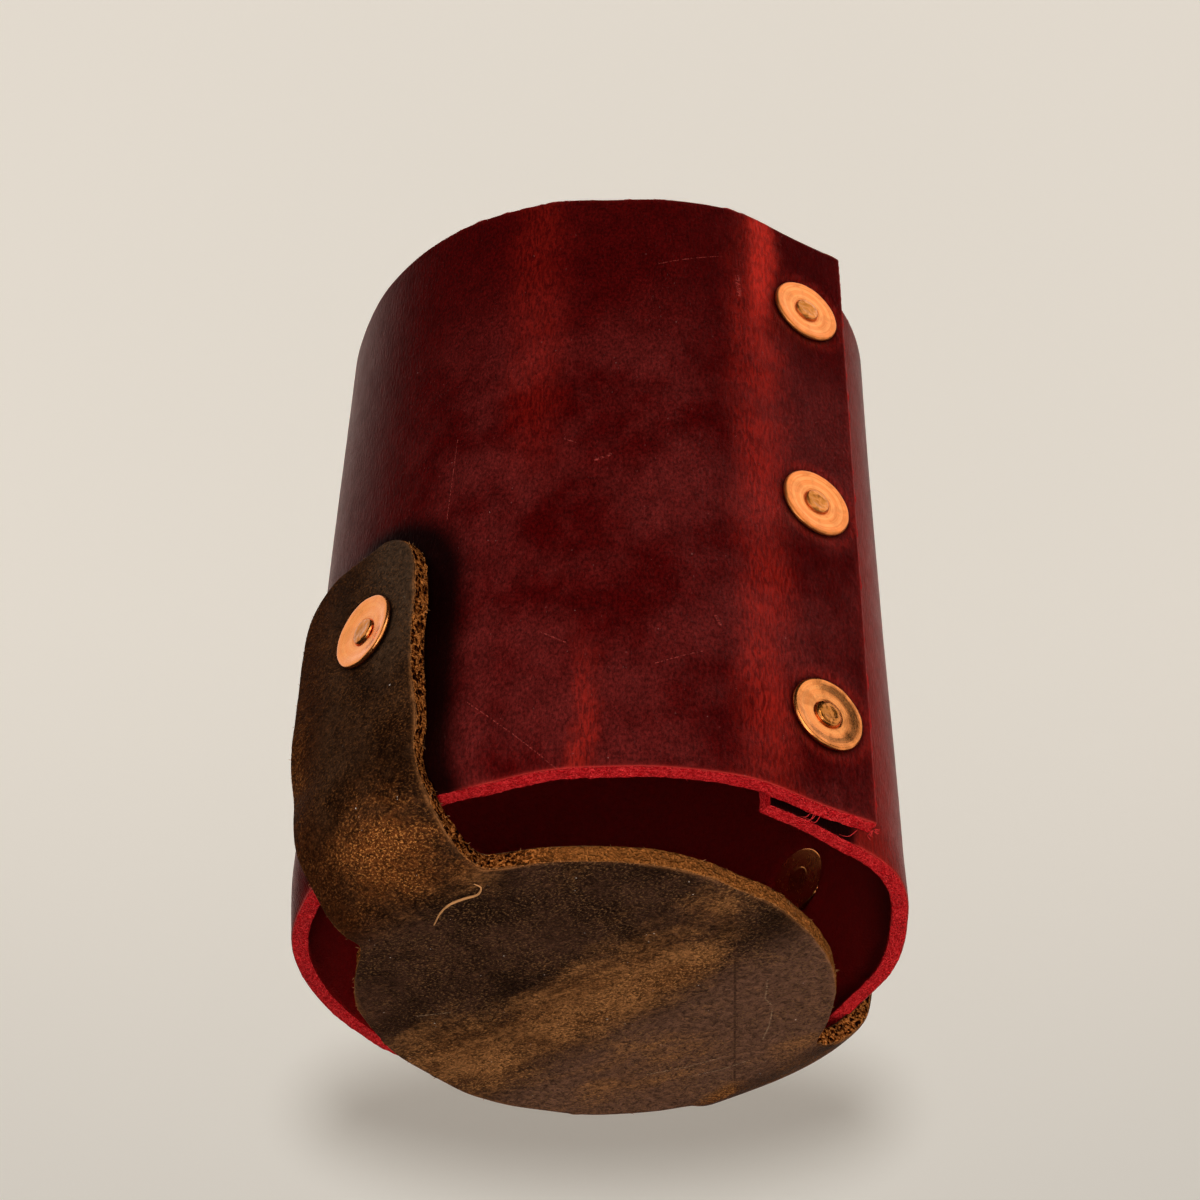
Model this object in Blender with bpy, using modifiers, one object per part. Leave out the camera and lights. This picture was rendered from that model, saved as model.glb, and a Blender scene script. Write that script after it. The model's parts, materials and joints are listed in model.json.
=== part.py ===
"""Leather can cooler: a lapped and riveted leather sleeve, with a base disc hung below it on two tabs.

Units are metres and +Z is up. The origin is the middle of the base disc's underside.
The two tabs of the base rise at -X and +X, and the sleeve's lapped seam faces -Y.
"""

import math

import bpy
from mathutils import Matrix, Vector

MM = 0.001

# The round space that the cooler holds open, and the slack that the round wall and the flat seam leave it.
SPACE_RADIUS = 33.1 * MM
BOTTOM_SLACK = 0.8 * MM
TOP_SLACK = 0.4 * MM
SEAM_SLACK = 0.1 * MM

# The sleeve: one strip of leather, wrapped round that space and lapped over its own start.
SLEEVE_THICKNESS = 2.1 * MM
SLEEVE_HEIGHT = 91.7 * MM
BASE_GAP = 4.6 * MM
LAP_WIDTH = 13.8 * MM
LAP_CLIMB_ANGLE = math.radians(34)
FLAT_BLEND = 0.5 * MM

# The wall isn't quite round beside the seam: it swells past the lap's end, and before the lap climbs
# it lies as close to the round space as the seam does.
SHOULDER_SWELL = 0.8 * MM
SHOULDER_ANGLE = math.radians(35)
SHOULDER_SPREAD = math.radians(23)
CHEEK_ANGLE = math.radians(-29)
CHEEK_SPREAD = math.radians(32)

# Each tab presses the sleeve's bottom edge in, across this angle and fading out by the next one.
PRESS_ANGLE = math.radians(20)
PRESS_FADE_ANGLE = math.radians(50)

# The base strap: a disc with two tabs, cut in one piece and bent up outside the sleeve.
STRAP_THICKNESS = 2.3 * MM
DISC_RADIUS = 27.6 * MM
TAB_WIDTH = 21.2 * MM
TAB_HEIGHT = 44.0 * MM
TAB_TIP_WIDTH = 5.4 * MM
TAB_LEAN = 0.6 * MM
BEND_RADIUS = 10.6 * MM
NOTCH_BLEND = 3.0 * MM

# At the bend each tab is cupped round the sleeve, and it is flat again this far above the bend.
CUP_START = 0.5
CUP_FADE = 10.0 * MM

# Copper rivets and burrs. A rivet's flat head is inside, and its peened end holds the burr outside.
SHANK_RADIUS = 1.4 * MM
HEAD_RADIUS = 4.4 * MM
HEAD_THICKNESS = 0.8 * MM
BURR_RADIUS = 4.7 * MM
BURR_THICKNESS = 0.8 * MM
BURR_DISH = 0.2 * MM
PEEN_RADIUS = 1.8 * MM
PEEN_HEIGHT = 0.6 * MM
PEEN_LIP = 0.15 * MM
BURR_ROUND = 0.45 * MM
RIM_ROUND = 0.25 * MM

# Where the rivets sit. They are set by hand: the seam's middle one is a little low, and the tabs' are
# a little off the middle, towards the seam.
SEAM_RIVET_AZIMUTH = math.radians(-91.1)
BOTTOM_RIVET_MARGIN = 12.6 * MM
TOP_RIVET_MARGIN = 13.7 * MM
MIDDLE_RIVET_DROP = 0.8 * MM
TAB_AZIMUTHS = {"left": math.pi, "right": 0.0}
TAB_RIVET_DROP = 12.5 * MM
TAB_RIVET_OFFSET = 1.6 * MM

# Clearances.
FACE_GAP = 0.2 * MM
HOLE_GAP = 0.15 * MM
SEAT_GAP = 0.2 * MM

# How finely the shapes are divided.
TURN_STEP = math.radians(4)
PRESS_ROWS = 3
RIM_STEPS = 12
NOTCH_STEPS = 4
BEND_STEPS = 9
FADE_STEPS = 3
CORNER_STEPS = 5
ACROSS_STEPS = 6
RIVET_STEPS = 28
STATION_GAP = 0.36 * MM
MERGE_DISTANCE = 0.01 * MM

# Edges turned more sharply than this are rounded, by no more than this share of the piece's thickness.
EDGE_ROUND = 0.3 * MM
EDGE_ANGLE = math.radians(60)
MOST_ROUND_SHARE = 0.3

# Sizes that follow from the ones above.
SLEEVE_BOTTOM = STRAP_THICKNESS + BASE_GAP
SLEEVE_TOP = SLEEVE_BOTTOM + SLEEVE_HEIGHT
TUCKED_FLAT = SPACE_RADIUS + SEAM_SLACK + SLEEVE_THICKNESS
LAP_FLAT = TUCKED_FLAT + FACE_GAP + SLEEVE_THICKNESS
LAP_ANGLE = math.atan2(LAP_WIDTH, LAP_FLAT)
SEAM_AZIMUTH = SEAM_RIVET_AZIMUTH - math.atan2(LAP_WIDTH / 2, LAP_FLAT)
HEAD_SINK = FACE_GAP + HEAD_THICKNESS


def wall_slack(height):
    """The slack where the wall is round, which closes up towards the top."""
    share = (height - SLEEVE_BOTTOM) / SLEEVE_HEIGHT
    return BOTTOM_SLACK + (TOP_SLACK - BOTTOM_SLACK) * share


def wall_radius(height):
    """Radius of the sleeve's outer face where it is round."""
    return SPACE_RADIUS + wall_slack(height) + SLEEVE_THICKNESS


# Sizes of the strap that follow from where it meets the wall.
TAB_RIVET_HEIGHT = TAB_HEIGHT - TAB_RIVET_DROP
TAB_INNER_FACE = wall_radius(TAB_RIVET_HEIGHT) + FACE_GAP
TAB_OUTER_FACE = TAB_INNER_FACE + STRAP_THICKNESS
TAB_CORNER_RADIUS = (TAB_WIDTH - TAB_TIP_WIDTH) / 2
OUTER_BEND = BEND_RADIUS + STRAP_THICKNESS
FLAT_END = TAB_OUTER_FACE - OUTER_BEND
BEND_END = FLAT_END + OUTER_BEND * math.pi / 2
STRAP_END = BEND_END + TAB_HEIGHT - OUTER_BEND
NOTCH_AT = math.sqrt(DISC_RADIUS**2 - (TAB_WIDTH / 2) ** 2)


def ease(share):
    """0 to 1 with a level start and end."""
    share = min(max(share, 0.0), 1.0)
    return share * share * (3 - 2 * share)


def hump(angle, middle, spread):
    """A smooth rise to 1 at the middle, and 0 from one spread away."""
    away = abs(angle - middle) / spread
    return 0.5 + 0.5 * math.cos(math.pi * away) if away < 1 else 0.0


def soft_min(a, b, blend):
    """The smaller of two lengths, rounded where they cross."""
    overlap = max(blend - abs(a - b), 0.0) / blend
    return min(a, b) - overlap * overlap * blend / 4


def soft_max(a, b, blend):
    """The larger of two lengths, rounded where they cross."""
    return -soft_min(-a, -b, blend)


def within(rounding, thickness):
    """A rounding that its piece is thick enough for."""
    return min(rounding, thickness * MOST_ROUND_SHARE)


def collection(name, hidden=False):
    made = bpy.data.collections.new(name)
    bpy.context.scene.collection.children.link(made)
    made.hide_render = hidden
    return made


def material(name, colour, roughness, metallic=0.0):
    made = bpy.data.materials.new(name)
    made.use_nodes = True
    shader = made.node_tree.nodes["Principled BSDF"]
    shader.inputs["Base Color"].default_value = (*colour, 1)
    shader.inputs["Roughness"].default_value = roughness
    shader.inputs["Metallic"].default_value = metallic
    return made


def new_object(name, points, edges, faces, group, finish=None):
    mesh = bpy.data.meshes.new(name)
    mesh.from_pydata(points, edges, faces)
    mesh.update()
    mesh.shade_smooth()
    if finish:
        mesh.materials.append(finish)
    made = bpy.data.objects.new(name, mesh)
    group.objects.link(made)
    return made


def sheet(name, rows, group, finish):
    """An open sheet of quads through rows of points, which face the side where rows run left to right, downwards."""
    count = len(rows[0])
    points = [point for row in rows for point in row]
    faces = []
    for row in range(len(rows) - 1):
        for column in range(count - 1):
            corner = row * count + column
            faces.append((corner, corner + count, corner + count + 1, corner + 1))
    return new_object(name, points, [], faces, group, finish)


def thicken(leather, thickness):
    """Gives a sheet its thickness behind its faces, with lightly rounded edges."""
    solid = leather.modifiers.new("thickness", "SOLIDIFY")
    solid.thickness = thickness
    solid.offset = -1
    solid.use_even_offset = True
    rounding = leather.modifiers.new("edges", "BEVEL")
    rounding.width = within(EDGE_ROUND, thickness)
    rounding.segments = 1
    rounding.limit_method = "ANGLE"
    rounding.angle_limit = EDGE_ANGLE


def even_shading(made):
    """Keeps wide flat faces flat to the eye beside small rounded ones."""
    made.modifiers.new("shading", "WEIGHTED_NORMAL")


def cut(leather, cutters):
    difference = leather.modifiers.new("holes", "BOOLEAN")
    difference.operation = "DIFFERENCE"
    difference.solver = "EXACT"
    difference.operand_type = "COLLECTION"
    difference.collection = cutters


def turned(name, profile, closed, place, group, finish=None):
    """A profile of (radius, height) points, turned about the Z axis of a place."""
    points = [(radius, 0, height) for radius, height in profile]
    edges = [(i, i + 1) for i in range(len(points) - 1)]
    if closed:
        edges.append((len(points) - 1, 0))
    made = new_object(name, points, edges, [], group, finish)
    made.matrix_world = place
    screw = made.modifiers.new("turn", "SCREW")
    screw.axis = "Z"
    screw.angle = 2 * math.pi
    screw.steps = RIVET_STEPS
    screw.render_steps = RIVET_STEPS
    screw.use_merge_vertices = True
    screw.merge_threshold = MERGE_DISTANCE
    return made


def place_facing(azimuth, distance, along, height):
    """A frame that looks outward at an azimuth, set at a distance from the axis and shifted along its plane."""
    outward = Vector((math.cos(azimuth), math.sin(azimuth), 0))
    sideways = Vector((-math.sin(azimuth), math.cos(azimuth), 0))
    up = Vector((0, 0, 1))
    turn = Matrix((sideways, up, outward)).transposed().to_4x4()
    return Matrix.Translation(outward * distance + sideways * along + up * height) @ turn


def bend_inner_face(height):
    """How far from the axis the strap's inner face is, at a height and in the middle of a tab."""
    below = OUTER_BEND - height
    if below <= 0:
        return TAB_INNER_FACE
    return TAB_INNER_FACE - BEND_RADIUS + math.sqrt(max(BEND_RADIUS**2 - below**2, 0))


def tab_press(azimuth, height):
    """How far a tab presses the sleeve in, so that the strap's bend clears the sleeve's bottom edge."""
    depth = max(wall_radius(height) + FACE_GAP - bend_inner_face(height), 0.0)
    nearest = min(abs(math.remainder(azimuth - tab, 2 * math.pi)) for tab in TAB_AZIMUTHS.values())
    return depth * (1 - ease((nearest - PRESS_ANGLE) / (PRESS_FADE_ANGLE - PRESS_ANGLE)))


def sleeve_radius(turn, height):
    """Radius of the sleeve's outer face, at an angle turned from the foot of the flat seam.

    The strip starts tucked under the lap at turn 0, goes once round and ends on the flat lap above its own start.
    """
    lap_start = 2 * math.pi
    if turn >= lap_start:
        return LAP_FLAT / math.cos(turn - lap_start)
    wall = wall_radius(height)
    swell = SHOULDER_SWELL * hump(turn, SHOULDER_ANGLE, SHOULDER_SPREAD)
    dip = (wall_slack(height) - SEAM_SLACK) * hump(turn, lap_start + CHEEK_ANGLE, CHEEK_SPREAD)
    climb = (LAP_FLAT - wall) * ease(1 - (lap_start - turn) / LAP_CLIMB_ANGLE)
    radius = wall + swell - dip + climb - tab_press(SEAM_AZIMUTH + turn, height)
    if turn < SHOULDER_ANGLE:
        radius = soft_min(TUCKED_FLAT / math.cos(turn), radius, FLAT_BLEND)
    return radius


def sleeve_heights():
    """Rows of the sleeve from the top down, closer together where the tabs press it in."""
    pressed = max(OUTER_BEND, SLEEVE_BOTTOM + STATION_GAP)
    rows = [SLEEVE_BOTTOM + (pressed - SLEEVE_BOTTOM) * i / PRESS_ROWS for i in range(PRESS_ROWS + 1)]
    return [SLEEVE_TOP] + rows[::-1]


def make_sleeve(group, finish):
    """The strip of leather, wrapped round and lapped, with its grain side out."""
    full_turn = 2 * math.pi + LAP_ANGLE
    steps = math.ceil(full_turn / TURN_STEP)
    rows = []
    for height in sleeve_heights():
        row = []
        for i in range(steps + 1):
            turn = full_turn * i / steps
            azimuth = SEAM_AZIMUTH + turn
            radius = sleeve_radius(turn, height)
            row.append((radius * math.cos(azimuth), radius * math.sin(azimuth), height))
        rows.append(row)
    sleeve = sheet("sleeve", rows, group, finish)
    thicken(sleeve, SLEEVE_THICKNESS)
    return sleeve


def strap_half_width(along):
    """Half of the strap's width: the disc's chord, then the tab with its rounded tip."""
    chord = math.sqrt(max(DISC_RADIUS**2 - along**2, 0))
    corner = max(along - (STRAP_END - TAB_CORNER_RADIUS), 0.0)
    rounding = TAB_CORNER_RADIUS - math.sqrt(max(TAB_CORNER_RADIUS**2 - corner**2, 0))
    return soft_max(chord, TAB_WIDTH / 2, NOTCH_BLEND) - rounding


def strap_cupping(along):
    """0 where the strap is flat across its width, and 1 where it is cupped round the sleeve."""
    rise = ease((along - FLAT_END) / ((BEND_END - FLAT_END) * CUP_START))
    fall = ease((along - BEND_END) / CUP_FADE)
    return rise * (1 - fall)


def strap_point(along, across):
    """A point of the strap's outer face, from the distance along it and the share of its half width.

    A tab leans a little to one side, away from the seam, between its bend and its tip.
    """
    lean = TAB_LEAN * ease((along - BEND_END) / (STRAP_END - BEND_END))
    y = across * strap_half_width(along) + lean
    if along <= FLAT_END:
        x, z = along, 0.0
    elif along >= BEND_END:
        x, z = TAB_OUTER_FACE, OUTER_BEND + along - BEND_END
    else:
        angle = (along - FLAT_END) / OUTER_BEND
        x = FLAT_END + OUTER_BEND * math.sin(angle)
        z = OUTER_BEND * (1 - math.cos(angle))
    cup = TAB_INNER_FACE - math.sqrt(TAB_INNER_FACE**2 - y**2)
    return x - cup * strap_cupping(along), y, z


def strap_stations():
    """Distances along the strap from its middle, closer together on the rim, the notch, the bend and the tip."""
    rim = [NOTCH_AT * math.sin(math.pi / 2 * i / RIM_STEPS) for i in range(RIM_STEPS)]
    half_notch = NOTCH_BLEND / 2
    notch = [NOTCH_AT - half_notch + NOTCH_BLEND * i / NOTCH_STEPS for i in range(NOTCH_STEPS + 1)]
    bend = [FLAT_END + (BEND_END - FLAT_END) * i / BEND_STEPS for i in range(1, BEND_STEPS + 1)]
    fade = [BEND_END + CUP_FADE * i / FADE_STEPS for i in range(1, FADE_STEPS + 1)]
    corner_start = STRAP_END - TAB_CORNER_RADIUS
    corner = [
        corner_start + TAB_CORNER_RADIUS * math.sin(math.pi / 2 * i / CORNER_STEPS)
        for i in range(CORNER_STEPS + 1)
    ]
    kept = [0.0]
    for station in sorted(rim + notch + bend + fade + corner):
        if station - kept[-1] >= STATION_GAP and STRAP_END - station >= STATION_GAP:
            kept.append(station)
    return kept + [STRAP_END]


def make_base_strap(group, finish):
    """Disc and tabs in one piece: a half sheet, mirrored at the middle, with its finished face out and down."""
    stations = strap_stations()
    rows = []
    for i in range(ACROSS_STEPS + 1):
        across = 2 * i / ACROSS_STEPS - 1
        rows.append([strap_point(along, across) for along in stations])
    strap = sheet("base_strap", rows, group, finish)
    mirror = strap.modifiers.new("other_tab", "MIRROR")
    mirror.use_axis = (True, False, False)
    mirror.merge_threshold = MERGE_DISTANCE
    thicken(strap, STRAP_THICKNESS)
    return strap


def rounded_rim(radius, height, rounding):
    """Points of a turned profile over the rounded upper edge of a rim."""
    return [
        (radius - rounding * (1 - math.sin(angle)), height - rounding * (1 - math.cos(angle)))
        for angle in (0, math.pi / 4, math.pi / 2)
    ]


def rivet_profile(stack):
    """Half-section of a set rivet. Height 0 is the leather's outer face, and stack is the leather below it."""
    peen_base = 2 * FACE_GAP + BURR_THICKNESS
    peen_top = peen_base + PEEN_HEIGHT
    head_top = HEAD_SINK - FACE_GAP - stack
    head_base = head_top - HEAD_THICKNESS
    rounding = within(RIM_ROUND, HEAD_THICKNESS)
    return [
        (0, peen_top - PEEN_LIP),
        (PEEN_RADIUS / 2, peen_top - PEEN_LIP),
        *rounded_rim(PEEN_RADIUS, peen_top, within(RIM_ROUND, PEEN_HEIGHT)),
        (PEEN_RADIUS, peen_base),
        (SHANK_RADIUS, peen_base),
        (SHANK_RADIUS, head_top),
        (HEAD_RADIUS - rounding, head_top),
        (HEAD_RADIUS, head_top - rounding),
        (HEAD_RADIUS, head_base + rounding),
        (HEAD_RADIUS - rounding, head_base),
        (0, head_base),
    ]


def burr_profile():
    """Half-section of the washer under the peened end, with a rounded rim and a shallow dish."""
    bore = SHANK_RADIUS + HOLE_GAP
    low = FACE_GAP
    high = FACE_GAP + BURR_THICKNESS
    upper = min(BURR_ROUND, BURR_THICKNESS * (1 - MOST_ROUND_SHARE))
    lower = within(RIM_ROUND, BURR_THICKNESS)
    return [
        *rounded_rim(BURR_RADIUS, high, upper),
        (BURR_RADIUS, low + lower),
        (BURR_RADIUS - lower, low),
        (bore, low),
        (bore, high),
        (PEEN_RADIUS, high),
        (PEEN_RADIUS + BURR_DISH, high - BURR_DISH),
        ((PEEN_RADIUS + BURR_RADIUS) / 2, high - BURR_DISH),
    ]


def cutter_profile(stack):
    """Half-section of the hole for a rivet, with the wider seat that its head is pressed into."""
    past = SLEEVE_THICKNESS
    hole = SHANK_RADIUS + HOLE_GAP
    seat = HEAD_RADIUS + SEAT_GAP
    return [
        (0, past),
        (hole, past),
        (hole, HEAD_SINK - stack),
        (seat, HEAD_SINK - stack),
        (seat, -stack - past),
        (0, -stack - past),
    ]


def set_rivet(label, place, stack, parts, cutters, finish):
    """One rivet with its burr, and the cutter for its hole and seat."""
    for name, profile, closed in (
        (f"{label}_rivet", rivet_profile(stack), False),
        (f"{label}_burr", burr_profile(), True),
    ):
        even_shading(turned(name, profile, closed, place, parts, finish))
    cutter = turned(f"{label}_cutter", cutter_profile(stack), False, place, cutters)
    cutter.display_type = "WIRE"
    cutter.hide_render = True


def set_seam_rivets(parts, cutters, finish):
    """A row of rivets down the middle of the flat lap, through both layers of the sleeve."""
    stack = 2 * SLEEVE_THICKNESS + FACE_GAP
    bottom = SLEEVE_BOTTOM + BOTTOM_RIVET_MARGIN
    top = SLEEVE_TOP - TOP_RIVET_MARGIN
    middle = (bottom + top) / 2 - MIDDLE_RIVET_DROP
    for name, height in (("bottom", bottom), ("middle", middle), ("top", top)):
        place = place_facing(SEAM_AZIMUTH, LAP_FLAT, LAP_WIDTH / 2, height)
        set_rivet(f"seam_{name}", place, stack, parts, cutters, finish)


def set_tab_rivets(parts, cutters, finish):
    """One rivet through each tab and the wall of the sleeve behind it."""
    stack = STRAP_THICKNESS + FACE_GAP + SLEEVE_THICKNESS
    for name, azimuth in TAB_AZIMUTHS.items():
        aside = -TAB_RIVET_OFFSET * math.cos(azimuth)
        place = place_facing(azimuth, TAB_OUTER_FACE, aside, TAB_RIVET_HEIGHT)
        set_rivet(f"tab_{name}", place, stack, parts, cutters, finish)


def build():
    for stray in list(bpy.data.objects):
        bpy.data.objects.remove(stray)
    parts = collection("leather_can_cooler")
    cutters = collection("cutters", hidden=True)
    sleeve_leather = material("sleeve_leather", (0.13, 0.012, 0.016), 0.42)
    strap_leather = material("strap_leather", (0.095, 0.052, 0.028), 0.68)
    copper = material("copper", (0.90, 0.42, 0.22), 0.28, metallic=1.0)
    sleeve = make_sleeve(parts, sleeve_leather)
    strap = make_base_strap(parts, strap_leather)
    set_seam_rivets(parts, cutters, copper)
    set_tab_rivets(parts, cutters, copper)
    for leather in (sleeve, strap):
        cut(leather, cutters)
        even_shading(leather)


build()
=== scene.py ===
"""The looks of a leather can cooler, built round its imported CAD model.

Lengths are metres in the CAD frame: +Z is up, the base's tabs rise at -X and +X, and the lapped seam
faces -Y. Every leather and copper piece is modelled again, finer, in the place of its CAD node.
"""

import json
import math
import random

import bpy
import numpy as np
from mathutils import Matrix, Vector, noise

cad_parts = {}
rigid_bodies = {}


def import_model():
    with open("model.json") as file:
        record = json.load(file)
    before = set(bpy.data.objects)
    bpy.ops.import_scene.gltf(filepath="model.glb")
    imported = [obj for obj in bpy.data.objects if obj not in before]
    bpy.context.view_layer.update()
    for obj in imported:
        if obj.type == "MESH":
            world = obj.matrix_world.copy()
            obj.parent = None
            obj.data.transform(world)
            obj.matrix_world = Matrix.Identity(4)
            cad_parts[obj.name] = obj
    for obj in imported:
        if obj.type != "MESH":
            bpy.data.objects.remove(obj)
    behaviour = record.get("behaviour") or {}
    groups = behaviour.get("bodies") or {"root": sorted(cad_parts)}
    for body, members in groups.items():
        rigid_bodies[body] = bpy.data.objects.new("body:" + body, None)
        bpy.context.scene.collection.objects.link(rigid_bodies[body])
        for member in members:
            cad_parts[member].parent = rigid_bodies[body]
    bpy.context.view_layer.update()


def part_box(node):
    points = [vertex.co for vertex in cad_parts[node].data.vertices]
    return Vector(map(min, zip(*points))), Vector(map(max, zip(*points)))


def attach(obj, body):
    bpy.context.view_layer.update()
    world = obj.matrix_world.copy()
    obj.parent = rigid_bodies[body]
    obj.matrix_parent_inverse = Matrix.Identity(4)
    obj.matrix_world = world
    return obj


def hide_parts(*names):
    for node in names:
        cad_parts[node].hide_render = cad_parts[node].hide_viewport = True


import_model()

MM = 0.001
TURN = 2 * math.pi

# Sizes of the CAD model that its frame doesn't give.
SPACE_RADIUS = 33.1 * MM
BOTTOM_SLACK = 0.8 * MM
TOP_SLACK = 0.4 * MM
SEAM_SLACK = 0.1 * MM
SLEEVE_THICKNESS = 2.1 * MM
LAP_WIDTH = 13.8 * MM
LAP_CLIMB_ANGLE = math.radians(34)
FLAT_BLEND = 0.5 * MM
SHOULDER_SWELL = 0.8 * MM
SHOULDER_ANGLE = math.radians(35)
SHOULDER_SPREAD = math.radians(23)
CHEEK_ANGLE = math.radians(-29)
CHEEK_SPREAD = math.radians(32)
PRESS_ANGLE = math.radians(20)
PRESS_FADE_ANGLE = math.radians(50)
STRAP_THICKNESS = 2.3 * MM
DISC_RADIUS = 27.6 * MM
TAB_WIDTH = 21.2 * MM
TAB_TIP_WIDTH = 5.4 * MM
TAB_LEAN = 0.6 * MM
TAB_RIVET_HEIGHT = 31.5 * MM
NOTCH_BLEND = 3.0 * MM
CUP_START = 0.5
CUP_FADE = 10.0 * MM
SEAM_RIVET_AZIMUTH = math.radians(-91.1)
FACE_GAP = 0.2 * MM
BURR_RADIUS = 4.7 * MM
BURR_THICKNESS = 0.8 * MM
HEAD_RADIUS = 4.4 * MM
HEAD_THICKNESS = 0.8 * MM

# Sizes that follow from those and from the frame.
SLEEVE_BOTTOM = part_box("sleeve")[0].z
SLEEVE_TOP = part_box("sleeve")[1].z
TAB_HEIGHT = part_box("base_strap")[1].z
TUCKED_FLAT = SPACE_RADIUS + SEAM_SLACK + SLEEVE_THICKNESS
LAP_FLAT = TUCKED_FLAT + FACE_GAP + SLEEVE_THICKNESS
LAP_ANGLE = math.atan2(LAP_WIDTH, LAP_FLAT)
SEAM_AZIMUTH = SEAM_RIVET_AZIMUTH - math.atan2(LAP_WIDTH / 2, LAP_FLAT)
TAB_CORNER_RADIUS = (TAB_WIDTH - TAB_TIP_WIDTH) / 2

# The strap's bends. The far one is softer than the near one.
NEAR_BEND = 10.6 * MM
FAR_BEND = 12.4 * MM

# How finely the leather is divided, and the steps that its slopes are measured over.
FACE_STEP = 0.55 * MM
EDGE_STEP = 0.13 * MM
EDGE_ROWS = 3
CUT_STEP = 0.26 * MM
CORNER_ROUND = 0.36 * MM
OUTLINE_STEP = 0.2 * MM
STEEPEST_OUTLINE = 2.5
TURN_NUDGE = 0.004
STRAP_NUDGE = 0.05 * MM

# Shapes that leather takes in use.
SLEEVE_WAVE = 0.16 * MM
STRAP_WAVE = 0.22 * MM
OUTLINE_WAVE = 0.28 * MM
EDGE_WAVE_SHARE = 0.6
EDGE_WAVE_FADE = 4.0 * MM
CALM_ANGLE = 0.7
CALM_FADE = 0.5
CUT_WAVE = 0.16 * MM
CUT_FRAY = 0.12 * MM
TUCK_SAG = 1.0 * MM
TUCK_RISE = 0.35 * MM
TUCK_TRIM = 1.1 * MM
LAP_TRIM = 0.6 * MM
TRIM_SPREAD = 8.0 * MM
SWELL_HEIGHT = 45.0 * MM
SWELL_LOSS = 0.8
CORNER_WEAR = 0.14 * MM
SPLAY_HEIGHT = 9.0 * MM
BURR_DIMPLE = 0.16 * MM
DIMPLE_FADE = 1.6 * MM
HEAD_SEAT = HEAD_THICKNESS + 0.1 * MM
HEAD_SEAT_FADE = 0.5 * MM
PULL_OUTSIDE_RIM = 0.9 * MM
PULL_SPREAD = 1.4 * MM

# Painted shade: dark lines and shade painted where something lies on the leather.
RIM_SHADE = 0.28 * MM
TAB_SHADE_START = 0.8 * MM
TAB_SHADE_FADE = 3.6 * MM
LAP_SHADE_ANGLE = 0.05
BESIDE_LAP_ANGLE = 0.2

# Copper as it is set: the burr bites into the leather, and the post's end is spread over it.
BURR_PROUD = 0.46 * MM
BURR_SUNK = 0.12 * MM
BURR_BORE = 1.45 * MM
BURR_TOP_ROUND = 0.34 * MM
BURR_FOOT_ROUND = 0.2 * MM
DISH_INNER_RADIUS = 2.1 * MM
PEEN_RADIUS = 1.72 * MM
PEEN_TOP_RADIUS = 1.05 * MM
SHANK_RADIUS = 1.3 * MM
SHANK_MIDDLE = -0.5 * MM
HEAD_ROUND = 0.3 * MM
HEAD_BEVEL = 0.2 * MM
TURNED_STEPS = 96
DEEPEST_RINGS = 0.08 * MM

# Random waves in a millimetre, coarse and fine, and the fine ones' share on copper.
FRAY_WAVES = (0.55, 3.1)
COPPER_WAVES = (0.55, 1.9)
FINE_COPPER_SHARE = 0.35

# The way that the nap lies on the strap.
NAP_TURN = math.radians(-11)

# Millimetres along the sleeve's strip for each radian round it, for the leather's own coordinates.
STRIP_PER_TURN = 35.7

# The camera, fitted to the photograph.
CAMERA_PLACE = Vector((-162.28, -179.51, -146.06)) * MM
CAMERA_BACK = Vector((-0.50936, -0.56577, -0.6485)).normalized()
CAMERA_RIGHT = Vector((0.73281, -0.68019, 0.0177)).normalized()
CAMERA_UP = CAMERA_BACK.cross(CAMERA_RIGHT)
CAMERA_LENS = 72.83
CAMERA_SENSOR = 36.0

# The studio: a pale sweep, and an oval flag whose shadow falls on it below the cooler.
SWEEP_RADIUS = 2.4
SWEEP_FLOOR = 0.9
BACKDROP_POWER = 103.0
FLAG_DISTANCE = 0.60
FLAG_DROP = 126 * MM
FLAG_HALF_WIDTH = 73 * MM
FLAG_HALF_HEIGHT = 19 * MM
FLAG_STEPS = 48
FLAG_LAMP_RADIUS = 15 * MM
LAMP_DISTANCE = 0.8
WARM_WHITE = (1.0, 0.97, 0.93)
SOFT_WHITE = (1.0, 0.97, 0.94)


def ease(share):
    """0 to 1 with a level start and end."""
    share = np.clip(share, 0.0, 1.0)
    return share * share * (3 - 2 * share)


def hump(value, middle, spread):
    """A smooth rise to 1 at the middle, and 0 from one spread away."""
    away = np.clip(np.abs(value - middle) / spread, 0.0, 1.0)
    return 0.5 + 0.5 * np.cos(math.pi * away)


def soft_min(a, b, blend):
    """The smaller of two lengths, rounded where they cross."""
    overlap = np.maximum(blend - np.abs(a - b), 0.0) / blend
    return np.minimum(a, b) - overlap * overlap * blend / 4


def waves(u, v, seed, size):
    """A smooth random height from -1 to 1 for each place (u, v), with waves of about the given size."""
    return np.array([
        2 * noise.noise(Vector((a / size, b / size, seed))) for a, b in zip(np.ravel(u), np.ravel(v))
    ]).reshape(np.shape(u))


# Meshes


def stations(length, step):
    """Places from 0 to a length, a step apart, with a few closer rows at each end."""
    near = [EDGE_STEP * i for i in range(EDGE_ROWS + 1)]
    count = max(math.ceil((length - 2 * near[-1]) / step), 1)
    inner = [near[-1] + (length - 2 * near[-1]) * i / count for i in range(1, count)]
    return np.array(near + inner + [length - d for d in near[::-1]])


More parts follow.
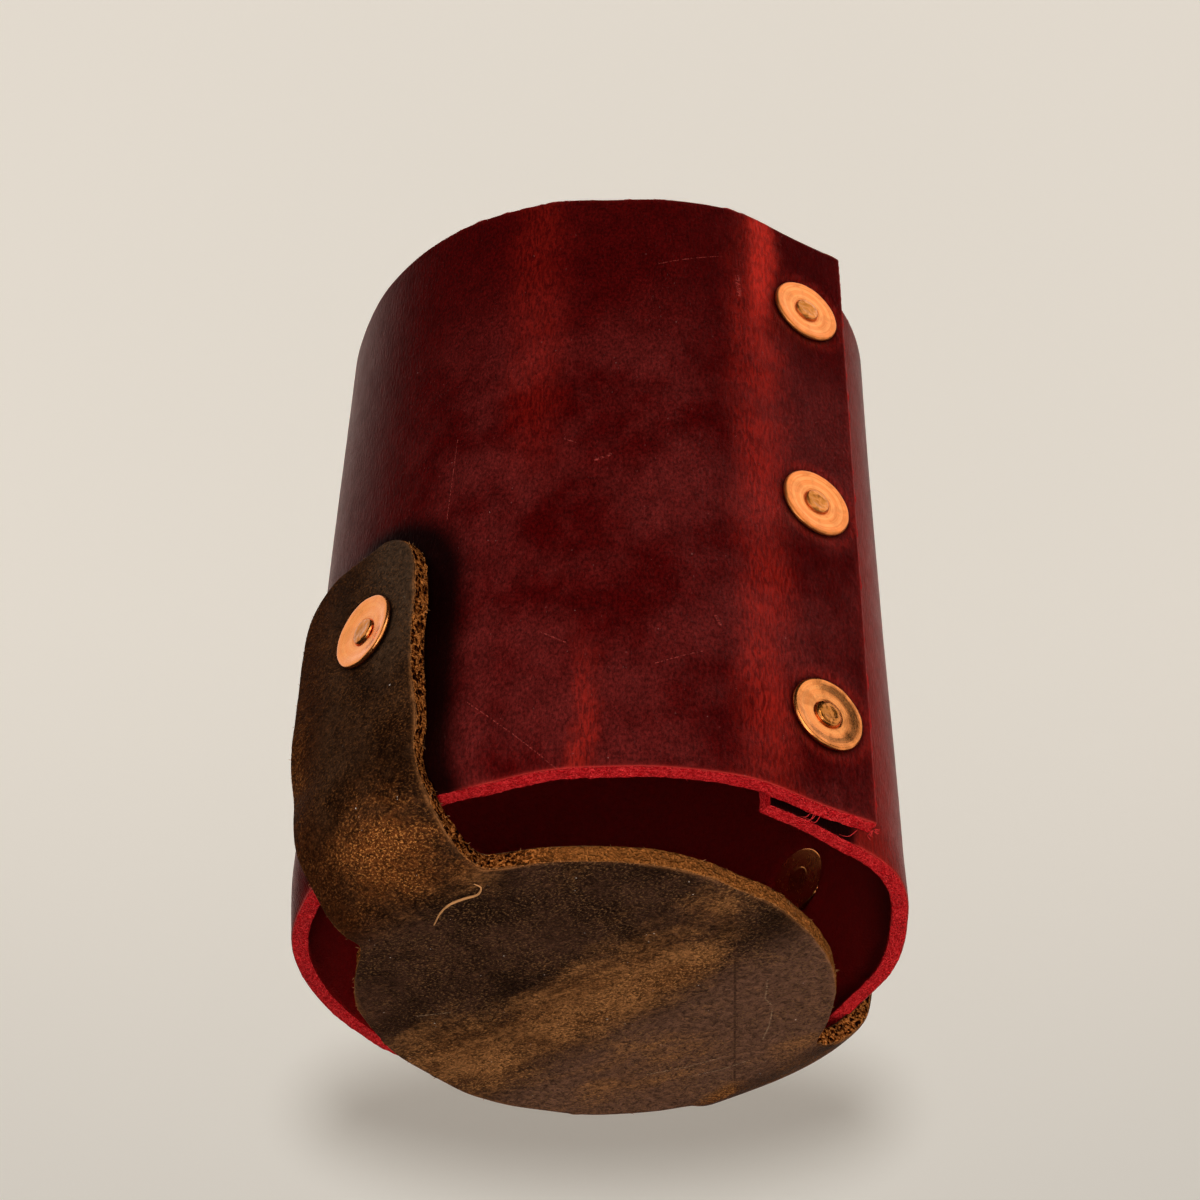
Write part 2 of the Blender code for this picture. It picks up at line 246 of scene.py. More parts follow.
def lattice(counts):
    """The surface of a box of counts cells: each point's place in the box, and the quads between them."""
    index = np.full([n + 1 for n in counts], -1)
    grid = np.indices(index.shape)
    on_skin = np.zeros(index.shape, bool)
    for axis, count in enumerate(counts):
        on_skin |= (grid[axis] == 0) | (grid[axis] == count)
    index[on_skin] = np.arange(on_skin.sum())
    quads = []
    for axis, count in enumerate(counts):
        for end in (0, count):
            side = np.take(index, end, axis=axis)
            corners = [side[:-1, :-1], side[1:, :-1], side[1:, 1:], side[:-1, 1:]]
            # Each side is turned so that its quads run the same way seen from outside.
            if (end == 0) == (axis != 1):
                corners.reverse()
            quads.append(np.stack([corner.ravel() for corner in corners], axis=1))
    return np.argwhere(on_skin), np.concatenate(quads)


def ring_faces(rows, steps):
    """Quads between rows of points that each go once round."""
    quads = []
    for row in range(0, (rows - 1) * steps, steps):
        for i in range(steps):
            j = (i + 1) % steps
            quads.append((row + i, row + j, row + steps + j, row + steps + i))
    return quads


def round_corner(a, b, size):
    """Two distances in from the sides of a square corner, moved onto its rounding."""
    p, q = size - a, size - b
    inside = (p > 0) & (q > 0)
    reach = np.where(inside, np.hypot(p, q), 1.0)
    scale = np.where(inside, np.maximum(p, q) / reach, 1.0)
    return np.where(inside, size - p * scale, a), np.where(inside, size - q * scale, b)


def rounded_slab(u, v, w, sizes):
    """Distances inside a slab of the given sizes, with its long edges and its ends rounded."""
    half = [size / 2 for size in sizes]
    signs = [np.sign(x - h) for x, h in zip((u, v, w), half)]
    inward = [h - np.abs(x - h) for x, h in zip((u, v, w), half)]
    inward[0], depth = round_corner(inward[0], inward[2], CORNER_ROUND)
    inward[1], inward[2] = round_corner(inward[1], depth, CORNER_ROUND)
    return [h + sign * (h - d) for h, sign, d in zip(half, signs, inward)]


def cut_and_flesh(layer, last):
    """1 on the cut edges, and 1 on the inner face, for points in the layers from 0 to the last."""
    return 1.0 * ((layer > 0) & (layer < last)), 1.0 * (layer == last)


def worn_edge(from_edge, cut, flesh):
    """1 along the corners of the outer face, fading inwards."""
    return np.where(cut + flesh > 0, 0.0, np.exp(-np.maximum(from_edge, 0) / CORNER_WEAR))


def frayed(points, cut, seed):
    """Moves the points of a cut edge by a coarse and a fine random amount, so that it looks cut by hand."""
    moved = points.copy()
    for i in np.nonzero(cut > 0)[0]:
        place = Vector(points[i]) / MM
        coarse = noise.noise_vector(place * FRAY_WAVES[0] + Vector((seed, 0, 0)))
        fine = noise.noise_vector(place * FRAY_WAVES[1] + Vector((0, seed, 0)))
        moved[i] += (np.array(coarse) * CUT_WAVE + np.array(fine) * CUT_FRAY) * cut[i]
    return moved


def new_object(name, data):
    made = bpy.data.objects.new(name, data)
    bpy.context.scene.collection.objects.link(made)
    return made


def mesh_object(name, points, faces, finish=None, **attributes):
    """A smooth mesh with values of its own at each point, which its material reads."""
    mesh = bpy.data.meshes.new(name)
    mesh.from_pydata(np.asarray(points).tolist(), [], np.asarray(faces).tolist())
    mesh.validate()
    if finish:
        mesh.materials.append(finish)
    for label, values in attributes.items():
        kind, field = ("FLOAT", "value") if values.ndim == 1 else ("FLOAT_VECTOR", "vector")
        layer = mesh.attributes.new(label, kind, "POINT")
        layer.data.foreach_set(field, np.ascontiguousarray(values, np.float32).ravel())
    mesh.shade_smooth()
    return new_object(name, mesh)


def dress(piece, node):
    """Rides a piece on the cooler in the place of its CAD node."""
    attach(piece, "root")
    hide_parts(node)


# Rivet places, from the frame


def rivet_place(label, azimuth):
    """The point on the leather's outer face under a burr, and the way that the burr faces."""
    low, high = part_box(f"{label}_burr")
    outward = Vector((math.cos(azimuth), math.sin(azimuth), 0))
    return (low + high) / 2 - outward * (FACE_GAP + BURR_THICKNESS / 2), outward


RIVETS = {
    "seam_bottom": rivet_place("seam_bottom", SEAM_AZIMUTH),
    "seam_middle": rivet_place("seam_middle", SEAM_AZIMUTH),
    "seam_top": rivet_place("seam_top", SEAM_AZIMUTH),
    "tab_left": rivet_place("tab_left", math.pi),
    "tab_right": rivet_place("tab_right", 0.0),
}


def across_rivet(points, place, outward):
    """Distance of each point from a rivet's axis, for points on its own side of the cooler."""
    offset = points - np.array(place)
    along = offset @ np.array(outward)
    away = np.linalg.norm(offset - np.outer(along, np.array(outward)), axis=1)
    return np.where(np.abs(along) < HEAD_RADIUS * 2, away, 1.0)


def rim_shade(rim):
    """Painted shade: 1 under a burr, fading out just beyond its rim."""
    return np.exp(-np.maximum(rim, 0) / RIM_SHADE)


# The sleeve


def wall_slack(height):
    share = (height - SLEEVE_BOTTOM) / (SLEEVE_TOP - SLEEVE_BOTTOM)
    return BOTTOM_SLACK + (TOP_SLACK - BOTTOM_SLACK) * share


def wall_radius(height):
    return SPACE_RADIUS + wall_slack(height) + SLEEVE_THICKNESS


TAB_INNER_FACE = wall_radius(TAB_RIVET_HEIGHT) + FACE_GAP
TAB_OUTER_FACE = TAB_INNER_FACE + STRAP_THICKNESS


def tab_press(azimuth, height):
    """How far a tab presses the sleeve in, so that the strap's bend clears the sleeve's bottom edge."""
    below = np.clip(NEAR_BEND + STRAP_THICKNESS - height, 0.0, NEAR_BEND)
    inner_face = TAB_INNER_FACE - NEAR_BEND + np.sqrt(NEAR_BEND**2 - below**2)
    depth = np.maximum(wall_radius(height) + FACE_GAP - inner_face, 0.0)
    nearest = np.minimum(np.abs(np.arcsin(np.sin(azimuth))), math.pi / 2)
    return depth * (1 - ease((nearest - PRESS_ANGLE) / (PRESS_FADE_ANGLE - PRESS_ANGLE)))


def near_bottom(height):
    """1 at the sleeve's bottom edge, fading to 0 where the lap's layers lie flat on each other."""
    return 1 - ease((height - SLEEVE_BOTTOM) / SPLAY_HEIGHT)


def tuck_shift(turn, height):
    """How far the tucked layer lies out near the bottom edge: it sags behind the lap and swells beside it."""
    sag = TUCK_SAG * hump(turn, LAP_ANGLE * 0.4, LAP_ANGLE * 1.3)
    rise = TUCK_RISE * hump(turn, LAP_ANGLE * 1.8, LAP_ANGLE * 0.8)
    return near_bottom(height) * (rise - sag)


def sleeve_radius(turn, height):
    """Radius of the sleeve's outer face, at an angle turned from the foot of the flat seam."""
    wall = wall_radius(height)
    swell = SHOULDER_SWELL * hump(turn, SHOULDER_ANGLE, SHOULDER_SPREAD)
    swell = swell * (1 - SWELL_LOSS * ease((height - SLEEVE_BOTTOM) / SWELL_HEIGHT))
    dip = (wall_slack(height) - SEAM_SLACK) * hump(turn, TURN + CHEEK_ANGLE, CHEEK_SPREAD)
    climb = (LAP_FLAT - wall) * ease(1 - (TURN - turn) / LAP_CLIMB_ANGLE)
    radius = wall + swell - dip + climb - tab_press(SEAM_AZIMUTH + turn, height)
    tucked = TUCKED_FLAT / np.cos(np.clip(turn, 0, SHOULDER_ANGLE))
    lapped = LAP_FLAT / np.cos(np.clip(turn - TURN, 0, LAP_ANGLE))
    radius = np.where(turn < SHOULDER_ANGLE, soft_min(tucked, radius, FLAT_BLEND), radius)
    return np.where(turn >= TURN, lapped, radius + tuck_shift(turn, height))


def sleeve_face(turn, height):
    """Points of the sleeve's outer face, and its outward direction there."""

    def flat(angle):
        radius = sleeve_radius(angle, height)
        azimuth = SEAM_AZIMUTH + angle
        return np.stack([radius * np.cos(azimuth), radius * np.sin(azimuth)], axis=1)

    ahead = flat(turn + TURN_NUDGE) - flat(turn - TURN_NUDGE)
    ahead /= np.linalg.norm(ahead, axis=1)[:, None]
    outward = np.column_stack([ahead[:, 1], -ahead[:, 0], np.zeros(len(ahead))])
    return np.column_stack([flat(turn), height]), outward


def near_tab(points):
    """Painted shade: 1 on the sleeve behind a tab, fading out over a few millimetres beside it."""
    beside = np.abs(points[:, 1]) - TAB_WIDTH / 2
    above = points[:, 2] - (TAB_HEIGHT - TAB_CORNER_RADIUS)
    away = np.hypot(np.maximum(beside, 0), np.maximum(above, 0))
    tip = np.hypot(points[:, 1], np.maximum(above, 0)) - TAB_WIDTH / 2
    away = np.where(above > 0, np.maximum(tip, 0), away)
    return 1 - ease((away - TAB_SHADE_START) / TAB_SHADE_FADE)


def make_sleeve(finish):
    length = (TURN + LAP_ANGLE) * STRIP_PER_TURN * MM
    tall = SLEEVE_TOP - SLEEVE_BOTTOM
    along = stations(length, FACE_STEP)
    up = stations(tall, FACE_STEP)
    deep = stations(SLEEVE_THICKNESS, CUT_STEP)
    cells, quads = lattice((len(along) - 1, len(up) - 1, len(deep) - 1))
    s, h, d = along[cells[:, 0]], up[cells[:, 1]], deep[cells[:, 2]]
    cut, flesh = cut_and_flesh(cells[:, 2], len(deep) - 1)
    s_in, h_in, d_in = rounded_slab(s, h, d, (length, tall, SLEEVE_THICKNESS))
    height = SLEEVE_BOTTOM + h_in
    # The lap's edge was trimmed, and the tucked end is cut back towards the bottom.
    trim = TUCK_TRIM * near_bottom(height) * (1 - ease(s_in / TRIM_SPREAD))
    trim -= LAP_TRIM * (1 - ease((length - s_in) / TRIM_SPREAD))
    turn = (s_in + trim) / (STRIP_PER_TURN * MM)
    face, outward = sleeve_face(turn, height)
    near_edge = np.exp(-h_in / EDGE_WAVE_FADE) + np.exp(-(tall - h_in) / EDGE_WAVE_FADE)
    outline = waves(s, np.zeros_like(h), seed=3.0, size=9 * MM) * OUTLINE_WAVE
    face[:, 2] += outline * EDGE_WAVE_SHARE * near_edge
    # The wall's waves run up it, and die out before the lap.
    calm = 1 - ease((turn - TURN + CALM_ANGLE) / CALM_FADE)
    bulge = waves(s, h * 0.35, seed=11.0, size=17 * MM) * SLEEVE_WAVE * calm
    points = face + outward * (bulge - d_in)[:, None]
    pull = np.zeros(len(points))
    # Painted shade: a dark band on the sleeve beside the tab, and a dark wedge on the tucked layer at the
    # lap's edge.
    contact = near_tab(face) * (np.abs(outward[:, 1]) < 0.6)
    contact = np.maximum(contact, 1 - ease((turn - LAP_ANGLE) / LAP_SHADE_ANGLE))
    for label, (place, facing) in RIVETS.items():
        on_tab = label.startswith("tab")
        away = across_rivet(face, place, facing)
        rim = away - BURR_RADIUS
        # A seam's burr dimples the lap. The head inside sits in the tucked layer, or in the wall by a tab.
        dimple = BURR_DIMPLE * (1 - ease(rim / DIMPLE_FADE)) * ((turn > TURN) & (not on_tab))
        seat = HEAD_SEAT * (1 - ease((away - HEAD_RADIUS) / HEAD_SEAT_FADE)) * ((turn < LAP_ANGLE) | on_tab)
        points -= outward * np.where(flesh > 0, -seat, dimple)[:, None]
        if not on_tab:
            # Painted shade just beyond the rim of a seam burr, on the lap.
            contact = np.maximum(contact, rim_shade(rim) * (turn > TURN - BESIDE_LAP_ANGLE))
            pull = np.maximum(pull, hump(rim, PULL_OUTSIDE_RIM, PULL_SPREAD))
    worn = worn_edge(np.minimum(np.minimum(s, length - s), np.minimum(h, tall - h)), cut, flesh)
    strip = np.column_stack([(turn - TURN) * STRIP_PER_TURN, height / MM, d / MM])
    return mesh_object("sleeve_leather", frayed(points, cut, 5.0), quads, finish, strip=strip, cut=cut,
                       flesh=flesh, contact=contact, pull=pull, worn=worn)


# The base strap


def bends(side):
    """Outer bend radius, end of the flat, end of the bend and end of the strap, on the -X or +X side."""
    outer = np.where(side > 0, FAR_BEND, NEAR_BEND) + STRAP_THICKNESS
    flat_end = TAB_OUTER_FACE - outer
    bend_end = flat_end + outer * math.pi / 2
    return outer, flat_end, bend_end, bend_end + TAB_HEIGHT - outer


def half_width(along, strap_end):
    chord = np.sqrt(np.maximum(DISC_RADIUS**2 - along**2, 0))
    corner = np.clip(along - (strap_end - TAB_CORNER_RADIUS), 0.0, TAB_CORNER_RADIUS)
    rounding = TAB_CORNER_RADIUS - np.sqrt(np.maximum(TAB_CORNER_RADIUS**2 - corner**2, 0))
    return -soft_min(-chord, -TAB_WIDTH / 2, NOTCH_BLEND) - rounding


def strap_face(side, along, across):
    """Points of the strap's outer face, from the side and the places along and across the strap."""
    outer, flat_end, bend_end, strap_end = bends(side)
    y = across + TAB_LEAN * ease((along - bend_end) / (strap_end - bend_end))
    angle = np.clip((along - flat_end) / outer, 0, math.pi / 2)
    x = np.minimum(along, flat_end) + outer * np.sin(angle)
    z = outer * (1 - np.cos(angle)) + np.maximum(along - bend_end, 0)
    rise = ease((along - flat_end) / ((bend_end - flat_end) * CUP_START))
    fall = ease((along - bend_end) / CUP_FADE)
    cup = TAB_INNER_FACE - np.sqrt(TAB_INNER_FACE**2 - y**2)
    return np.column_stack([side * (x - cup * rise * (1 - fall)), y, z])


def strap_outward(side, along, across):
    step = STRAP_NUDGE
    ahead = strap_face(side, along + step, across) - strap_face(side, along - step, across)
    aside = strap_face(side, along, across + step) - strap_face(side, along, across - step)
    outward = np.cross(ahead, aside) * -side[:, None]
    return outward / np.linalg.norm(outward, axis=1)[:, None]


def strap_rows():
    """Shares of the way from the strap's middle to a tip, closer together where its outline is steep."""
    strap_end = float(bends(np.array(-1.0))[3])
    rows = [0.0]
    while rows[-1] < strap_end:
        here = rows[-1]
        change = half_width(here + OUTLINE_STEP, strap_end) - half_width(here, strap_end)
        slope = min(abs(float(change)) / OUTLINE_STEP, STEEPEST_OUTLINE)
        rows.append(here + FACE_STEP / math.hypot(1, slope))
    rows = [row for row in rows if row < strap_end - EDGE_STEP * (EDGE_ROWS + 1)]
    rows += [strap_end - EDGE_STEP * i for i in range(EDGE_ROWS, -1, -1)]
    return np.array(rows) / strap_end


def make_strap(finish):
    half = strap_rows()
    shares = np.concatenate([-half[:0:-1], half])
    deep = stations(STRAP_THICKNESS, CUT_STEP)
    across_count = math.ceil(2 * DISC_RADIUS / FACE_STEP)
    cells, quads = lattice((len(shares) - 1, across_count, len(deep) - 1))
    share, row, d = shares[cells[:, 0]], cells[:, 1], deep[cells[:, 2]]
    cut, flesh = cut_and_flesh(cells[:, 2], len(deep) - 1)
    side = np.where(share < 0, -1.0, 1.0)
    strap_end = bends(side)[3]
    along = np.abs(share) * strap_end
    width = 2 * half_width(along, strap_end)
    # Rows across are evenly spread, with a few close to each edge.
    reach = EDGE_STEP * EDGE_ROWS
    inner = (row - EDGE_ROWS) / (across_count - 2 * EDGE_ROWS)
    across = reach + (width - 2 * reach) * inner
    across = np.where(row >= across_count - EDGE_ROWS, width - (across_count - row) * EDGE_STEP, across)
    across = np.where(row <= EDGE_ROWS, row * EDGE_STEP, across)
    sizes = (2 * strap_end, width, STRAP_THICKNESS)
    place, across, d_in = rounded_slab(side * along + strap_end, across, d, sizes)
    along = np.abs(place - strap_end)
    across = across - width / 2
    outline = waves(side * along, np.sign(across) * 0.1, seed=21.0, size=6 * MM) * OUTLINE_WAVE
    across = across + outline * np.sign(across) * ease(np.abs(across) / width * 2)
    face = strap_face(side, along, across)
    outward = strap_outward(side, along, across)
    # The disc stays flatter than the tabs.
    free = ease(np.abs(face[:, 2]) / TAB_HEIGHT * 4 + 0.3)
    bulge = waves(side * along, across, seed=31.0, size=15 * MM) * STRAP_WAVE * free
    # Painted shade round the rim of each tab burr.
    contact = np.zeros(len(face))
    for label in ("tab_left", "tab_right"):
        rim = across_rivet(face, *RIVETS[label]) - BURR_RADIUS
        bulge -= BURR_DIMPLE * (1 - ease(rim / DIMPLE_FADE))
        contact = np.maximum(contact, rim_shade(rim))
    points = face + outward * (bulge - d_in)[:, None]
    worn = worn_edge(np.minimum(width / 2 - np.abs(across), strap_end - along), cut, flesh)
    strip = np.column_stack([side * along / MM, across / MM, d / MM])
    return mesh_object("strap_leather", frayed(points, cut, 9.0), quads, finish, strip=strip, cut=cut,
                       flesh=flesh, contact=contact, worn=worn)


# Copper


def turned(name, profile, place, outward, wobble, seed, finish):
    """A profile of (radius, height) points turned about a rivet's axis, a little uneven as set by hand."""
    up = Vector((0, 0, 1))
    sideways = up.cross(outward)
    angles = [TURN * i / TURNED_STEPS for i in range(TURNED_STEPS)]
    disc = [(r * math.cos(a), r * math.sin(a), h) for r, h in profile for a in angles]
    points = []
    for a, b, height in disc:
        spot = Vector((a, b, height)) / MM
        lumps = noise.noise(spot * COPPER_WAVES[0] + Vector((seed, 0, 0))) * wobble
        fine = noise.noise(spot * COPPER_WAVES[1] + Vector((0, seed, 0))) * wobble * FINE_COPPER_SHARE
        points.append(place + sideways * a + up * b + outward * (height + lumps + fine))
    return mesh_object(name, points, ring_faces(len(profile), TURNED_STEPS), finish, disc=np.array(disc) / MM)


def arc(centre, radius, start, end, steps):
    """Profile points round part of a circle. Angles are in degrees, 0 is outward and 90 is up."""
    angles = [math.radians(start + (end - start) * i / steps) for i in range(steps + 1)]
    return [(centre[0] + radius * math.cos(a), centre[1] + radius * math.sin(a)) for a in angles]


def burr_profile(dish):
    """Half-section of a burr: pressed into the leather, with a rounded rim and a shallow dish."""
    low, high = -BURR_SUNK, BURR_PROUD
    foot, top = BURR_FOOT_ROUND, BURR_TOP_ROUND
    slope = [(BURR_RADIUS - inset * MM, high - dish * share)
             for inset, share in ((0.6, 0.06), (0.95, 0.3), (1.4, 0.75), (1.9, 1.0))]
    return [
        (BURR_BORE, low),
        *arc((BURR_RADIUS - foot, low + foot), foot, -90, 0, 4),
        *arc((BURR_RADIUS - top, high - top), top, 0, 90, 7),
        *slope,
        (DISH_INNER_RADIUS, high - dish),
        (BURR_BORE, high - dish * 1.1),
        (BURR_BORE, low),
    ]


def peen_profile(dish, height, sink):
    """Half-section of a rivet's peened end: a rounded lump whose middle is sunken."""
    base = BURR_PROUD - dish
    spread = PEEN_RADIUS - PEEN_TOP_RADIUS
    crown = [(PEEN_RADIUS - spread * (1 - math.cos(a)), base + height * math.sin(a))
             for a in (math.radians(10 * i) for i in range(10))]
    middle = [(PEEN_TOP_RADIUS * (1 - share),
               base + height - sink * float(ease(share * 1.6)) + 0.25 * sink * share**2)
              for share in (0.12, 0.25, 0.4, 0.55, 0.7, 0.85, 0.9995)]
    shank = [(SHANK_RADIUS, SHANK_MIDDLE), (SHANK_RADIUS, base - 0.1 * MM)]
    return [*shank, (PEEN_RADIUS, base - 0.06 * MM), *crown, *middle]


def head_profile(stack):
    """Half-section of a rivet's flat head inside the sleeve, domed a little, with its shank."""
    top = -stack + HEAD_THICKNESS
    base = -stack - 0.12 * MM
    corner = arc((HEAD_RADIUS - HEAD_ROUND, base + HEAD_ROUND), HEAD_ROUND, 0, -90, 5)
    return [
        (0.0005 * MM, base - 0.1 * MM),
        (1.6 * MM, base - 0.09 * MM),
        *reversed(corner),
        (HEAD_RADIUS, top - HEAD_BEVEL),
        (HEAD_RADIUS - HEAD_BEVEL, top),
        (SHANK_RADIUS, top),
        (SHANK_RADIUS, SHANK_MIDDLE),
    ]


def join(objects, name):
    """One object from several, under a new name."""
    with bpy.context.temp_override(active_object=objects[0], selected_editable_objects=objects):
        bpy.ops.object.join()
    objects[0].name = name
    objects[0].data.name = name
    return objects[0]


def make_rivet(label, seed, dish, peen, sink, finish):
    """A rivet and its burr. The dish, the peened end's height and its sunken middle are millimetres."""
    place, outward = RIVETS[label]
    under = STRAP_THICKNESS if label.startswith("tab") else SLEEVE_THICKNESS
    stack = under + FACE_GAP + SLEEVE_THICKNESS
    peened = peen_profile(dish * MM, peen * MM, sink * MM)
    burr = turned(f"{label}_burr_copper", burr_profile(dish * MM), place, outward, 0.06 * MM, seed, finish)
    post = turned(f"{label}_post", peened, place, outward, 0.11 * MM, seed + 4, finish)
    head = turned(f"{label}_head", head_profile(stack), place, outward, 0.03 * MM, seed + 8, finish)
    dress(burr, f"{label}_burr")
    dress(join([post, head], f"{label}_rivet_copper"), f"{label}_rivet")


# Materials


class Nodes:
    """A node tree being made: it adds nodes and joins them up."""

    def __init__(self, owner):
        owner.use_nodes = True
        self.tree = owner.node_tree

    def feed(self, socket, value):
        """Links another node's output to a socket, or sets the socket's own value."""
        if isinstance(value, bpy.types.NodeSocket):
            self.tree.links.new(value, socket)
        elif socket.type == "RGBA" and len(value) == 3:
            socket.default_value = (*value, 1)
        else:
            socket.default_value = value

    def add(self, kind, inputs, **settings):
        node = self.tree.nodes.new("ShaderNode" + kind)
        for name, value in settings.items():
            setattr(node, name, value)
        for name, value in inputs.items():
            self.feed(node.inputs[name], value)
        return node

    def attribute(self, name, output="Fac"):
        return self.add("Attribute", {}, attribute_name=name).outputs[output]

    def math(self, operation, *values):
        return self.add("Math", dict(enumerate(values)), operation=operation).outputs[0]

    def times(self, product, *others):
        for other in others:
            product = self.math("MULTIPLY", product, other)
        return product

    def most(self, largest, *others):
        for other in others:
            largest = self.math("MAXIMUM", largest, other)
        return largest

    def linear(self, value, slope, start):
        return self.math("MULTIPLY_ADD", value, slope, start)

    def vector(self, operation, *values):
        return self.add("VectorMath", dict(enumerate(values)), operation=operation).outputs[0]

    def measure(self, operation, *values):
        """A length or a dot product."""
        return self.add("VectorMath", dict(enumerate(values)), operation=operation).outputs["Value"]

    def scale(self, vector, share):
        return self.add("VectorMath", {0: vector, "Scale": share}, operation="SCALE").outputs[0]

    def flat(self, place):
        """The leather's or the disc's coordinates without the depth."""
        return self.vector("MULTIPLY", place, (1, 1, 0))

    def stretched(self, place, scale, offset=(0, 0, 0), turn=0.0):
        inputs = {"Vector": place, "Scale": scale, "Location": offset, "Rotation": (0, 0, turn)}
        return self.add("Mapping", inputs).outputs[0]

    def noise(self, place, scale, detail, roughness=0.5, distortion=0.0):
        inputs = {"Vector": place, "Scale": scale, "Detail": detail, "Roughness": roughness,
                  "Distortion": distortion}
        return self.add("TexNoise", inputs).outputs[0]

    def grain(self, place, scale, detail, roughness, distortion=0.0, offset=(0, 0)):
        """Random tones with one scale along the leather and another across it."""
        inner = self.stretched(place, (*scale, 1), (*offset, 0))
        return self.noise(inner, 1.0, detail, roughness, distortion)

    def span(self, value, low, high, start=0.0, end=1.0):
        """The value's way from low to high, smoothed, as a number from start to end."""
        inputs = {"Value": value, "From Min": low, "From Max": high, "To Min": start, "To Max": end}
        return self.add("MapRange", inputs, interpolation_type="SMOOTHSTEP").outputs[0]

    def mix(self, share, a, b, limit=1.0):
        """Colour a, turned into colour b by a share. The limit is the most that it may turn."""
        if limit < 1:
            share = self.times(share, limit)
        return self.add("Mix", {0: share, 6: a, 7: b}, data_type="RGBA").outputs[2]

    def bump(self, height, distance, strength, normal=None):
        inputs = {"Height": height, "Distance": distance, "Strength": strength}
        if normal:
            inputs["Normal"] = normal
        return self.add("Bump", inputs).outputs[0]

    def specks(self, place, scale, size):
        """Small round dots, one in a few cells."""
        cells = self.add("TexVoronoi", {"Vector": place, "Scale": scale})
        near = self.span(cells.outputs["Distance"], size, size * 0.4)
        some = self.add("SeparateColor", {0: cells.outputs["Color"]}).outputs[0]
        return self.times(near, self.math("GREATER_THAN", some, 0.72))

    def line(self, place, start, end, width):
        """1 along a line between two places of the leather, fading to 0 across its width."""
        run = Vector(end) - Vector(start)
        from_start = self.vector("SUBTRACT", place, (*start, 0))
        along = self.measure("DOT_PRODUCT", from_start, (*(run / run.length_squared), 0))
        held = self.add("Clamp", {0: along}).outputs[0]
        aside = self.vector("SUBTRACT", from_start, self.scale((*run, 0), held))
        return self.span(self.measure("LENGTH", aside), width, width * 0.25)

    def lines(self, place, marks):
        return self.most(*(self.line(place, *mark) for mark in marks))


class Finish(Nodes):
    """A material being made."""

    def __init__(self, name):
        self.material = bpy.data.materials.new(name)
        super().__init__(self.material)

    def surface(self, values):
        """Sets or links inputs of the material's surface, and gives the material."""
        for name, value in values.items():
            self.feed(self.tree.nodes["Principled BSDF"].inputs[name], value)
        return self.material


def fluff(made, place, fineness):
    """Open fibres of a cut edge: 1 on the strands and 0 in the pits between them."""
    drift = made.add("TexNoise", {"Vector": place, "Scale": 1.7, "Detail": 3.0}).outputs["Color"]
    bent = made.vector("MULTIPLY_ADD", drift, (1.1, 1.1, 0.8), place)
    inputs = {"Vector": made.stretched(bent, (1.0, 1.2, 1.8)), "Scale": 1.4 * fineness}
    strands = made.span(made.add("TexVoronoi", inputs).outputs["Distance"], 0.20, 0.56)
    fine = made.noise(place, 4.5 * fineness, 3.0, 0.7)
    return made.times(strands, made.span(fine, 0.30, 0.62, 0.45, 1.0))


def leather_surface(made, face, under, flesh, raw, gloss, raw_gloss, relief, strands, depth):
    """Puts a leather's outer face, inner face and cut edges together.

    under is the near-black colour of the painted shade where something lies on the leather, and its share.
    The inner face and the cut edges have open strands, which stand out by a depth.
    """
    cut = made.span(made.attribute("cut"), 0.25, 0.75)
    inside = made.span(made.attribute("flesh"), 0.2, 0.8)
    open_fibres = made.most(cut, inside)
    # Painted shade where something lies on the leather.
    face = made.mix(made.attribute("contact"), face, *under)
    return made.surface({
        "Base Color": made.mix(cut, made.mix(inside, face, flesh), raw),
        "Roughness": made.most(gloss, made.times(open_fibres, raw_gloss)),
        "Normal": made.bump(made.times(strands, open_fibres), depth, 1.0, relief),
    })


# Faint streaks on the sleeve: the place along the strip, half width, lowest and highest place, and strength.
# The last four are where the strip was pulled round, on the back and the sides.
FAINT_STREAKS = (
    (-28.4, 5.5, 58, 120, 0.12),
    (-21.0, 2.4, -20, 16, 0.26),
    (-84.0, 6.0, 30, 120, 0.15),
    (-108.0, 4.0, -20, 62, 0.20),
    (-131.0, 7.5, 44, 120, 0.16),
    (-160.0, 4.5, -20, 120, 0.22),
)

# Fine marks: where each starts and ends in millimetres along and across the leather, and its width.
NICKS = (
    ((-34.3, 17.3), (-22.8, 6.0), 0.10),
    ((-13.2, 86.0), (-5.1, 88.9), 0.10),
    ((-3.2, 85.8), (-3.0, 82.4), 0.42),
    ((-20.4, 51.7), (-19.6, 52.1), 0.30),
    ((-18.9, 52.4), (-18.7, 52.6), 0.32),
    ((-24.2, 55.2), (-22.6, 54.4), 0.12),
    ((-26.0, 25.5), (-23.1, 23.8), 0.11),
    ((-38.0, 58.7), (-38.6, 45.9), 0.09),
    ((-13.3, 21.0), (-8.2, 23.2), 0.09),
    ((-6.7, 28.5), (-6.2, 27.4), 0.22),
    ((-96.0, 61.0), (-84.0, 66.0), 0.10),
    ((-131.0, 30.0), (-140.0, 52.0), 0.10),
    ((-70.0, 78.0), (-66.0, 71.0), 0.12),
)
SCUFFS = (
    ((16.5, 8.5), (18.6, 3.9), 0.12),
    ((18.6, 3.9), (19.9, -0.6), 0.12),
    ((20.4, 5.6), (22.0, 1.2), 0.11),
    ((22.0, 1.2), (22.7, -2.6), 0.11),
    ((11.3, -16.6), (12.9, -14.9), 0.12),
    ((12.9, -14.9), (14.0, -13.6), 0.12),
    ((14.0, -13.6), (15.4, -13.2), 0.13),
    ((16.2, -12.7), (18.6, -9.8), 0.11),
    ((18.6, -9.8), (20.4, -7.0), 0.11),
    ((-12.0, 17.5), (-9.8, 14.2), 0.13),
    ((-63.0, 2.6), (-61.6, 1.5), 0.20),
)
CREASE = ((5.7, -17.0), (24.8, 2.0))

